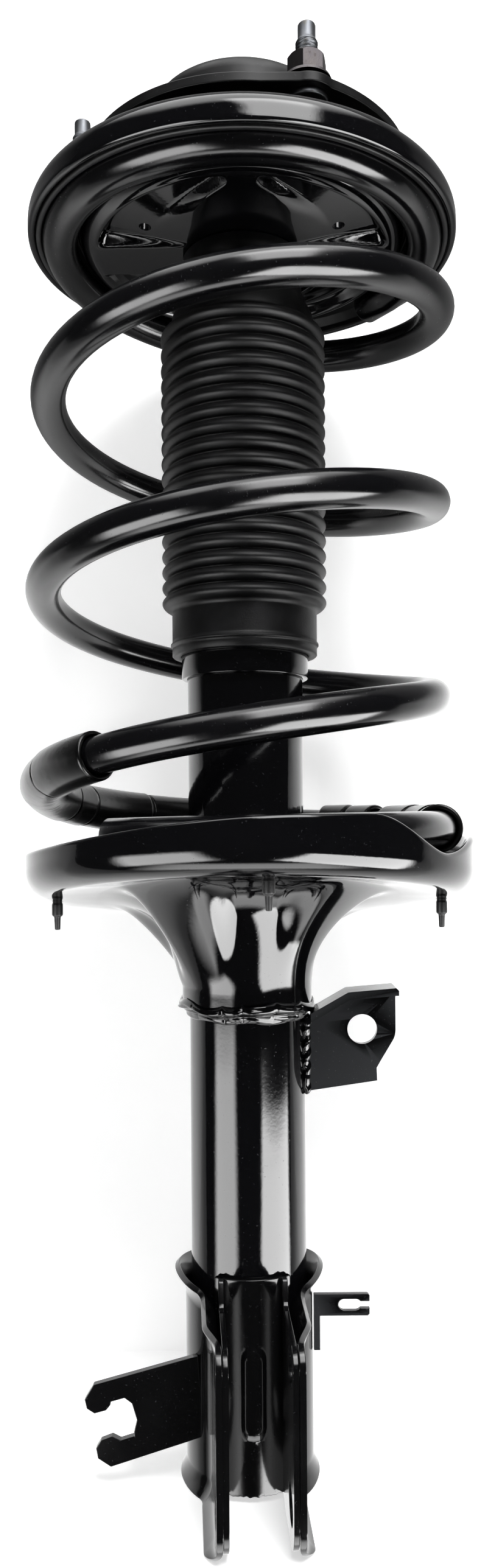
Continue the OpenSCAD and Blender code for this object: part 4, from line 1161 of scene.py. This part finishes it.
    def peg_place(self, at: float) -> tuple[float, float]:
        """Across and forwards place of the peg at an azimuth in degrees, from the damper's axis."""
        q = math.radians(at)
        return self.shift + self.peg_ring * math.sin(q), -self.peg_ring * math.cos(q)

    def pad(self) -> Piece:
        """Rubber pad: at each azimuth its section lies on the floor and rises to just under the coil."""
        q = np.linspace(-180.0, 180.0, 144, endpoint=False)[:, None]
        coil = CoilSpring(self.nodes, self.look)
        s = (q - 90.0 - coil.start + 720.0) % 360.0
        lift = self.wire_r + (coil.sleeve_r - self.wire_r) * ease(68, 96, s)
        top = np.minimum(self.low_coil + coil.climb(s) - lift - 0.1, self.low_coil - self.wire_r - 0.2)
        f = self.floor(q) + self.sheet + 0.1
        cr = self.corner - self.sheet - 0.6
        cx, cz = self.seat_r - self.corner, self.floor(q) + self.corner
        high = np.arcsin(np.minimum(0.0, (top - 0.8 - cz) / cr))
        a = np.radians(-80.0) + (high - np.radians(-80.0)) * np.linspace(0.0, 1.0, 7)[None]
        edge = cx + cr * np.cos(high)
        flat = [stacked(x, f) for x in (64.5, 68.0, cx - 1.5)]
        side = stacked(cx + cr * np.cos(a), cz + cr * np.sin(a))
        roof = [stacked(x, z) for x, z in (
            (edge, top - 0.7), (edge - 0.25, top - 0.2), (edge - 0.8, top), (72.0, top), (67.0, top),
            (64.6, top - 0.8), (64.0, top - 2.0), (64.0, f + 0.5),
        )]
        loops = stood(np.concatenate([*flat, side, *roof], 1), q[:, 0])
        loops[..., 0] += self.shift
        body = loft("lower_rubber_pad", loops)
        for number, at in enumerate(self.pegs):
            self.peg(body, at, number)
        return body

    def peg(self, body: Piece, at: float, number: int) -> None:
        """Joins a pull-through peg to the pad: a stem with a barb under the floor and a pull tail."""
        z = float(self.floor(np.array(at)))
        r = self.peg_r
        outline = rounded(np.array([
            [0.0, z - 11.5], [r - 0.8, z - 11.5], [r - 0.6, z - 6.4], [r + 0.3, z - 5.6],
            [r + 0.3, z - 1.4], [r, z - 0.6], [r, z + 4.5], [0.0, z + 4.5],
        ]), np.array([0.0, 0.5, 0.8, 0.6, 0.4, 0.2, 0.0, 0.0]), 3)
        loops = around(np.maximum(outline[:, 0], 0.0), outline[:, 1], circle(24))
        stem = loft(f"peg_{number}", loops + np.array([*self.peg_place(at), 0.0]))
        work = bmesh.new()
        work.from_mesh(body.data)
        work.from_mesh(stem.data)
        work.to_mesh(body.data)
        work.free()
        bpy.data.objects.remove(stem)

    def weld(self) -> Piece:
        """Fillet weld that laps the collar: a fat bead in lumps, with ragged edges.

        Round the strut, each section is an arch between the tube and the collar's face. Its height is
        a row of rounded lumps, |cos|^0.6 of a phase that wanders, and its two edges wander apart.
        """
        a, t = circle(480), np.linspace(0.0, 1.0, 17)[None]
        phase = 7.0 * a + 2.2 * ripple(a, 0.0, 11, 7, 1, 5)
        lump = np.abs(np.cos(phase)) ** 0.6
        high = self.weld_high + 1.3 * ripple(a, 0.0, 12, 9, 2, 9) - 0.7 * lump
        low = self.weld_low + 0.9 * ripple(a, 0.0, 13, 9, 2, 9)
        face = self.collar_r - 0.1
        base = self.tube_r + 0.05 + (face - self.tube_r) * ease(0.35, 0.62, t)
        bulge = (0.9 + 1.0 * lump + 0.3 * ripple(a, 3.0 * t, 14, 9, 3, 12)) * np.sin(np.pi * t) ** 0.55
        skin = stacked(base + bulge, low + (high - low) * t)
        back = stacked(base - 0.3, skin[..., 1])[:, ::-1]
        r, z = np.moveaxis(np.concatenate([skin, back], 1), -1, 0)
        return loft("seat_weld_bead", around(r, z, a))


# ---------------------------------------------------------------- damper


@dataclass
class Damper(Assembly):
    """Strut tube with its caps, and the rod, piston and valves inside."""

    tube_r: float = 23.0
    wall: float = 2.5
    top: float = -188.0
    low: float = -515.0

    def build(self) -> None:
        """Builds the tube and dresses the rest."""
        self.settle(self.tube(), Body.HOUSING, "tube", "tube_paint", ["strut_tube"])
        self.settle(self.cap(), Body.HOUSING, "tube", "tube_paint", ["tube_cap"])
        self.settle(self.seal(), Body.HOUSING, "rubber", "rubber", ["oil_seal"])
        self.paint("tube", "tube_end_cap")
        self.paint("steel", "rod_guide", "pressure_tube", "base_valve", "piston")
        self.paint("nylon", "rebound_stop")
        self.paint("band", "piston_band")
        self.paint("zinc", "piston_nut")
        self.paint("chrome", "piston_rod")

    def tube(self) -> Piece:
        """The tube with its turned-in top lip, all edges rounded."""
        inner = self.tube_r - self.wall
        outline = [
            [self.tube_r, self.low], [self.tube_r, self.top], [14.0, self.top], [14.0, self.top - 2.0],
            [inner, self.top - 2.0], [inner, self.low],
        ]
        return moulded("strut_tube_body", outline, [0.4, 2.5, 0.4, 0.4, 0.6, 0.4], 5, 8.0, 160)

    def cap(self) -> Piece:
        """The pressed cap over the tube's top that the bump stop lands on."""
        outline = [
            [25.2, -202.0], [25.2, -186.0], [12.0, -186.0], [12.0, -188.0], [23.1, -188.0], [23.1, -202.0],
        ]
        return moulded("tube_top_cap", outline, [0.5, 1.8, 0.5, 0.5, 0.4, 0.4], 5, 3.0)

    def seal(self) -> Piece:
        """The oil seal round the rod, with rounded edges and a hollow in its face."""
        outline = [
            [10.05, -196.1], [20.4, -196.1], [20.4, -190.1], [17.0, -190.1], [15.5, -191.6], [12.5, -191.6],
            [11.0, -190.1], [10.05, -190.1],
        ]
        return moulded("rod_oil_seal", outline, 0.4, 3, 12.0, 96)


# ---------------------------------------------------------------- knuckle bracket


@dataclass
class Knuckle(Assembly):
    """Bracket that grips the tube and holds the wheel's knuckle, and the liner between its flanges."""

    tube_r: float = 23.0
    sheet: float = 2.3
    liner_t: float = 2.1
    gap: float = 22.2
    reach: float = 65.0
    yaw: float = 3.4
    top: float = -440.9
    low: float = -517.0
    sweep_r: float = 12.0
    top_round: float = 8.0
    low_round: float = 14.0
    bolt_reach: float = 53.0
    bolt_r: float = 7.1
    bolt_levels: tuple[float, float] = (-500.5, -451.5)
    emboss_w: float = 8.6
    emboss_h: float = 26.0
    emboss_rise: float = 1.2
    lip_out: float = 4.3
    lip_top: float = 9.0
    lip_low: float = 7.4
    edge_round: float = 0.35
    panel_low: float = -514.5

    def build(self) -> None:
        """Builds and dresses the bracket."""
        self.settle(self.bracket(), Body.HOUSING, "bracket", "bracket_paint", ["knuckle_bracket"])
        self.settle(self.liner(), Body.HOUSING, "bracket", "bracket_paint", ["bracket_liner"])

    def turned(self, points: Array) -> Array:
        """Points turned by the flanges' yaw about the damper's axis."""
        a = math.radians(self.yaw)
        turn = np.array([[math.cos(a), -math.sin(a), 0.0], [math.sin(a), math.cos(a), 0.0], [0.0, 0.0, 1.0]])
        return points @ turn.T

    def half_wall(self) -> Array:
        """Right half of the wall's inner face in plan, as (across, forwards, normal across, normal forwards).

        It is an arc round the tube, then the opposite arc of the hollow sweep, then the straight flange.
        """
        inner = self.tube_r + 0.1
        flange = self.gap / 2 + self.liner_t + 0.1
        side = flange + self.sweep_r
        fwd = math.sqrt((inner + self.sweep_r) ** 2 - side * side)
        turn = math.degrees(math.atan2(fwd, side))
        a = np.radians(np.linspace(-90.0, turn, 60))
        saddle = stacked(inner * np.cos(a), inner * np.sin(a), np.cos(a), np.sin(a))
        b = np.radians(180.0 + turn * (1 - np.linspace(0.0, 1.0, 16)[1:]))
        cos, sin = np.cos(b), np.sin(b)
        sweep = stacked(side + self.sweep_r * cos, fwd + self.sweep_r * sin, -cos, -sin)
        leg = stacked(flange, self.run(fwd + 1.5, self.reach, 14), 1.0, 0.0)
        return np.concatenate([saddle, sweep, leg])

    def run(self, start: float, reach: float, count: int) -> Array:
        """Stations along a flange: even ones, then closer ones over the lower corner's radius."""
        edge = reach - self.low_round
        corner = edge + self.low_round * np.sin(np.radians(np.linspace(0.0, 90.0, 22)))
        return np.concatenate([np.linspace(start, edge - 2.0, count), corner])

    def drop(self, f: Array, r: float, reach: float) -> Array:
        """How far a round corner takes an edge back at a place f forwards: r - sqrt(r^2 - d^2)."""
        d = np.maximum(f - reach + r, 0.0)
        return r - np.sqrt(np.maximum(r * r - d * d, 0.0))

    def edge_top(self, f: Array) -> Array:
        """Upper edge of the bracket by how far forwards a place is."""
        crest = 5.0 * (1 - ease(2, 30, f)) - 2.0 * (1 - ease(-20, -2, f))
        return self.top + crest - self.drop(f, self.top_round, self.reach)

    def edge_low(self, f: Array) -> Array:
        """Lower edge of the bracket by how far forwards a place is."""
        return self.low - 0.4 * (1 - ease(0, 26, f)) + self.drop(f, self.low_round, self.reach)

    def section(self, f: Array) -> Array:
        """The wall's upright section at places f: a sheet with one rolled lip above and one below.

        Each lip leaves the wall as the power 1.7 of its share, so it starts in line with the wall.
        """
        f = f[:, None]
        z1, z0 = self.edge_top(f), self.edge_low(f)
        a = self.lip_out * (1 - ease(44, 60, f))
        b = (2.5 + 1.9 * ease(5, 26, f)) * (1 - ease(52, 63, f))
        u = np.linspace(0.0, 1.0, 12)[None]
        high, low = z1 - self.lip_top, z0 + self.lip_low
        mid = np.linspace(0.08, 0.92, 12)[None]
        outer = np.concatenate([
            stacked(self.sheet + a * (1 - u) ** 1.7, z1 - self.lip_top * u),
            stacked(self.sheet, high + (low - high) * mid),
            stacked(self.sheet + b * u**1.7, z0 + self.lip_low * (1 - u)),
        ], 1)
        inner = beside(outer, -self.sheet)[:, ::-1]
        inner[..., 0] = np.maximum(inner[..., 0], 0.0)
        return self.edged(outer, inner)

    def edged(self, outer: Array, inner: Array) -> Array:
        """Closes two skins into loops with a rounded edge at each end."""
        loops = np.concatenate([outer, inner], 1)
        count = outer.shape[1]
        a, b, c, d = loops[:, 0], loops[:, count - 1], loops[:, count], loops[:, -1]
        body = np.concatenate([loops[:, 1 : count - 1], loops[:, count + 1 : -1]], 1)
        half = body.shape[1] // 2

        def bead(start: Array, end: Array, before: Array, after: Array) -> Array:
            """A squared edge with two small corner radii, as six points."""
            r = self.edge_round
            ways = (end - start, before - start, after - end)
            way, back, on = (d / np.linalg.norm(d, axis=1, keepdims=True) for d in ways)
            return np.stack([
                start + back * r, start + (back + way) * r * 0.29, start + way * r,
                end - way * r, end + (on - way) * r * 0.29, end + on * r,
            ], 1)

        low = bead(b, c, loops[:, count - 2], loops[:, count + 1])
        top = bead(d, a, loops[:, -2], loops[:, 1])
        return np.concatenate([body[:, :half], low, body[:, half:], top], 1)

    def pressed(self, name: str, plan: Array, section: Array) -> Piece:
        """Carries upright sections along a half plan and its mirror image, and drills the bolt holes.

        Args:
            name: The piece's name.
            plan: Stations from the middle to the flange's edge, as half_wall() gives them.
            section: Loops as (stations, points, 2), each point as (out along the normal, level).

        Returns:
            The piece.
        """
        across, forwards, normal_x, normal_y = plan.T[..., None]
        out, level = section[..., 0], section[..., 1]
        half = stacked(across + out * normal_x, -(forwards + out * normal_y), level)
        mirrored = half[::-1] * np.array([-1.0, 1.0, 1.0])
        piece = loft(name, self.turned(np.concatenate([mirrored[:-1], half])), wrap=False)
        cut(piece, self.drills())
        return creased(piece, 55.0, weigh=True)

    def bracket(self) -> Piece:
        """The bracket: the wall's section carried along its plan from flange edge to flange edge."""
        plan = self.half_wall()
        return self.pressed("knuckle_bracket_pressing", plan, self.section(plan[:, 1]))

    def drills(self) -> list[Piece]:
        """Tools for the two bolt holes through both flanges."""
        tools = []
        for level in self.bolt_levels:
            ends = self.turned(np.array([[-40.0, -self.bolt_reach, level], [40.0, -self.bolt_reach, level]]))
            ends[:, 0] += AXIS_X
            tools.append(cylinder_tool(Vector(ends[0]), Vector(ends[1]), self.bolt_r))
        return tools

    def liner(self) -> Piece:
        """The liner: a panel over the tube with a long emboss, bent into a leg along each flange.

        The panel's outer face stands out by the emboss's rise times a smooth step of the distance from
        a pill-shaped outline; its lower edge wanders a little, as a sheared edge does.
        """
        saddle = self.tube_r + 0.1
        leg = self.gap / 2 + self.liner_t
        a0 = math.degrees(math.acos(leg / saddle))
        a = np.radians(np.linspace(90.0, a0, 40))
        panel = stacked(saddle * np.cos(a), saddle * np.sin(a), np.cos(a), np.sin(a))
        start = saddle * math.sin(math.radians(a0))
        reach = self.reach - 0.7
        flange = stacked(leg, self.run(start + 2.2, reach, 16), -1.0, 0.0)
        turn = np.radians(np.linspace(a0, 180.0, 8))[1:-1]
        bend = stacked(leg, np.linspace(start + 0.2, start + 1.9, 6), np.cos(turn), np.abs(np.sin(turn)))
        plan = np.concatenate([panel, bend, flange])
        x, f = plan.T[:2, :, None]
        deep = ease(saddle + 3.0, saddle + 5.5, f)
        fall = ease(saddle + 1.0, saddle + 4.5, f)
        z1 = (self.top + 8.5) + (-9.5) * fall - self.drop(f, self.top_round, reach)
        bottom = self.low + 1.0 + self.drop(f, self.low_round, reach)
        torn = 0.35 * ripple(x * 0.35, 0.0, 21, 9, 2, 9)
        z0 = (self.panel_low + torn) * (1 - deep) + bottom * deep
        z = z1 + (z0 - z1) * np.linspace(0.0, 1.0, 60)[None]
        middle = sum(self.bolt_levels) / 2 + 0.5
        dz = np.maximum(np.abs(z - middle) - self.emboss_h / 2, 0.0)
        rise = self.emboss_rise * (1 - ease(self.emboss_w / 2 - 1.3, self.emboss_w / 2, np.hypot(x, dz)))
        outer = stacked(self.liner_t + rise * (f > 0.8 * saddle), z)
        return self.pressed("flange_liner_pressing", plan, self.edged(outer, stacked(0.0, z)[:, ::-1]))


@dataclass
class SideBrackets(Assembly):
    """Link bracket, hose bracket and sensor wire bracket."""

    edge: float = 0.35
    bead_place: tuple[float, float] = (23.4, -4.7)
    bead_half: tuple[float, float] = (1.9, 2.7)
    bead_top: float = -334.5
    bead_low: float = -367.0

    def build(self) -> None:
        """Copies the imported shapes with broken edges, and welds the link bracket to the tube."""
        for node, name in (
            ("link_bracket", "link_bracket_plate"),
            ("hose_bracket", "hose_bracket_plate"),
            ("sensor_wire_bracket", "sensor_wire_clip"),
        ):
            self.machined(node, name, Body.HOUSING, "bracket", "bracket_paint", self.edge)
        self.settle(self.bead(), Body.HOUSING, "weld", "weld")

    def bead(self) -> Piece:
        """Weld bead down the tube's side: ellipses along Z, whose size swells in |cos|^0.5 lumps."""
        u = np.linspace(0.0, 1.0, 130)[:, None]
        k = circle(30).T
        lump = np.abs(np.cos(9.0 * u + 2.6 * ripple(4.0 * u, 0.0, 31, 5, 1, 4))) ** 0.5
        size = 0.82 + 0.2 * lump + 0.14 * ripple(k, 14.0 * u, 32, 7, 1, 3)
        size = size * np.sqrt(np.clip(1.02 - (2 * u - 1) ** 10, 0.0, 1.0))
        x = self.bead_place[0] + self.bead_half[0] * size * np.cos(k)
        y = self.bead_place[1] + self.bead_half[1] * size * np.sin(k)
        z = self.bead_top + (self.bead_low - self.bead_top) * u
        return loft("link_bracket_weld", stacked(x, y, z), wrap=False)


# ---------------------------------------------------------------- studio


@dataclass(frozen=True)
class Card:
    """A glowing card as the strut sees it.

    Azimuth from -Y towards +X, elevation and size are in degrees; soft is the share of a side over
    which its edges fade.
    """

    azimuth: float
    elevation: float
    width: float
    height: float
    radiance: float
    soft: float = 0.12
    distance: float = 1200.0


@dataclass
class Studio:
    """Camera, floor, backdrop, lamps and world."""

    distance: float = 442.0
    eye_z: float = -260.0
    focal_px: float = 1811.0
    middle_px: tuple[float, float] = (404.0, 1355.0)
    roll: float = -0.4
    floor_z: float = -517.5
    backdrop_y: float = 98.0
    aim_z: float = -300.0
    paper_glow: float = 0.55
    fill: float = 0.35
    mirrored_fill: float = 0.035

    def build(self) -> None:
        """Sets the whole stage."""
        self.camera()
        self.stage()
        self.world()
        self.card("left_card", Card(-45.0, -29.0, 50.0, 44.0, 9.0, 0.22))
        self.card("right_card", Card(56.0, -36.0, 62.0, 40.0, 14.0))
        self.card("top_card", Card(19.0, 47.0, 32.0, 50.0, 8.5, 0.2))
        self.card("overhead_card", Card(0.0, 80.0, 70.0, 60.0, 3.5, 0.3))
        self.card("table_card", Card(0.0, -74.0, 80.0, 38.0, 4.5, 0.3))
        self.key("key_lamp", (260.0, -900.0, 900.0), 500.0, 22.0)
        bpy.context.scene.view_settings.view_transform = "Standard"

    def camera(self) -> None:
        """A camera at the height of the spring's foot, aimed along +Y with a slight roll."""
        data = bpy.data.cameras.new("camera")
        data.sensor_width = 36.0
        data.lens = data.sensor_width * self.focal_px / FRAME_HEIGHT
        data.shift_x = -(self.middle_px[0] - FRAME_WIDTH / 2) / FRAME_HEIGHT
        data.shift_y = (self.middle_px[1] - FRAME_HEIGHT / 2) / FRAME_HEIGHT
        data.clip_start, data.clip_end = 0.01, 20.0
        camera = placed("camera", data)
        place = Matrix.Translation(Vector((AXIS_X, -self.distance, self.eye_z)) * MM)
        roll = Matrix.Rotation(math.radians(self.roll), 4, "Z")
        camera.matrix_world = place @ Matrix.Rotation(math.pi / 2, 4, "X") @ roll
        bpy.context.scene.camera = camera

    def sheet(self, name: str, places: Sequence[tuple[float, float, float]]) -> Piece:
        """A flat staging sheet of white paper through four places in mm."""
        mesh = bpy.data.meshes.new(name)
        mesh.from_pydata([tuple(c * MM for c in p) for p in places], [], [(0, 1, 2, 3)])
        mesh.materials.append(self.paper(f"{name}_paper"))
        piece = placed(name, mesh)
        return piece

    def paper(self, name: str) -> bpy.types.Material:
        """White paper: diffuse, topped up to white for the camera, clear from its back.

        Reflections see it lit behind the strut, fading from 0.05 to 0.6 m aside, and dimmed upwards from
        0.22 to 0.07 m below the mount.
        """
        material = bpy.data.materials.new(name)
        tree = blank_tree(material)
        path = add_node(tree, "LightPath")
        glossy = path.outputs["Is Glossy Ray"]
        place = add_node(tree, "SeparateXYZ", {0: add_node(tree, "TexCoord").outputs["Object"]})
        across = calc(tree, "ABSOLUTE", place.outputs["X"])
        near = spread(tree, across, 0.6, 0.05, 0.95, "SMOOTHSTEP")
        high = spread(tree, place.outputs["Z"], -0.22, -0.07, 0.88, "SMOOTHSTEP")
        seen = calc(tree, "MULTIPLY", path.outputs["Is Camera Ray"], self.paper_glow)
        glow = calc(tree, "MULTIPLY_ADD", glossy, near, seen)
        top_up = add_node(tree, "Emission", {"Color": WHITE, "Strength": glow})
        paper = add_node(tree, "BsdfDiffuse", {"Color": linear("#f2f2f2")})
        dark = add_node(tree, "BsdfDiffuse", {"Color": linear("#000000")})
        clear = add_node(tree, "BsdfTransparent")
        front = add_node(tree, "AddShader", {0: paper.outputs[0], 1: top_up.outputs[0]})
        dim = calc(tree, "MULTIPLY", glossy, high)
        front = add_node(tree, "MixShader", {0: dim, 1: front.outputs[0], 2: dark.outputs[0]})
        back = add_node(tree, "NewGeometry").outputs["Backfacing"]
        both = add_node(tree, "MixShader", {0: back, 1: front.outputs[0], 2: clear.outputs[0]})
        add_node(tree, "OutputMaterial", {"Surface": both.outputs[0]})
        return material

    def stage(self) -> None:
        """A pale floor under the strut and a backdrop close behind it, both clear from their backs."""
        half, z, y = 3000.0, self.floor_z, self.backdrop_y
        ground = [(-half, -half, z), (half, -half, z), (half, half, z), (-half, half, z)]
        self.sheet("floor", ground).visible_glossy = False
        self.sheet("backdrop", [(-half, y, -half), (half, y, -half), (half, y, half), (-half, y, half)])

    def world(self) -> None:
        """A studio: plain white to the camera, soft fill for matt surfaces, and near dark in reflections."""
        world = bpy.data.worlds.new("white_room")
        bpy.context.scene.world = world
        tree = blank_tree(world)
        path = add_node(tree, "LightPath").outputs
        glow: Socket | float = self.fill
        for ray, other in (("Is Glossy Ray", self.mirrored_fill), ("Is Camera Ray", 1.0)):
            glow = add_node(tree, "Mix", {0: path[ray], 2: glow, 3: other}, data_type="FLOAT").outputs[0]
        background = add_node(tree, "Background", {"Color": WHITE, "Strength": glow})
        add_node(tree, "OutputWorld", {"Surface": background.outputs[0]})

    def area(self, name: str, place: Vector, size: Sequence[float], power: float) -> Piece:
        """An area lamp in mm, aimed at the middle of the strut, with no roll."""
        data = bpy.data.lights.new(name, "AREA")
        data.shape, data.size, data.size_y = "RECTANGLE", size[0] * MM, size[1] * MM
        data.energy = power
        lamp = placed(name, data)
        target = Vector((AXIS_X, 0.0, self.aim_z)) * MM
        lamp.location = place * MM
        lamp.rotation_euler = (target - lamp.location).to_track_quat("-Z", "Y").to_euler()
        return lamp

    def card(self, name: str, card: Card) -> None:
        """A glowing card that shows in reflections only, placed by its direction and its angular size."""
        a, e = math.radians(card.azimuth), math.radians(card.elevation)
        way = Vector((math.sin(a) * math.cos(e), -math.cos(a) * math.cos(e), math.sin(e)))
        size = [2 * card.distance * math.tan(math.radians(angle / 2)) for angle in (card.width, card.height)]
        power = card.radiance * math.pi * size[0] * size[1] * MM * MM
        place = Vector((AXIS_X, 0.0, self.aim_z)) + way * card.distance
        lamp = self.area(name, place, size, power)
        lamp.visible_diffuse = lamp.visible_camera = False
        tree = blank_tree(lamp.data)
        across = add_node(tree, "SeparateXYZ", {0: add_node(tree, "NewGeometry").outputs["Parametric"]})
        fades = []
        for axis in ("X", "Y"):
            reach = calc(tree, "ABSOLUTE", calc(tree, "SUBTRACT", across.outputs[axis], 0.5))
            fades.append(spread(tree, reach, 0.5, 0.5 - card.soft, 1.0, "SMOOTHSTEP"))
        glow = add_node(tree, "Emission", {"Strength": calc(tree, "MULTIPLY", *fades)})
        add_node(tree, "OutputLight", {"Surface": glow.outputs[0]})

    def key(self, name: str, place: tuple[float, float, float], size: float, power: float) -> None:
        """The lamp that lights matt surfaces and casts the soft shadows."""
        lamp = self.area(name, Vector(place), (size, size), power)
        lamp.visible_glossy = lamp.visible_camera = False


def main() -> None:
    """Loads the frame, sets the studio and builds each sub-assembly."""
    logging.basicConfig(level=logging.INFO, format="%(name)s: %(message)s")
    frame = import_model()
    Studio().build()
    look = Look()
    for part in (
        TopMount, SteeringBearing, UpperSeat, CoilSpring, DustBoot, LowerSeat, Damper, Knuckle, SideBrackets,
    ):
        part(frame["nodes"], look).build()


if __name__ == "__main__":
    main()
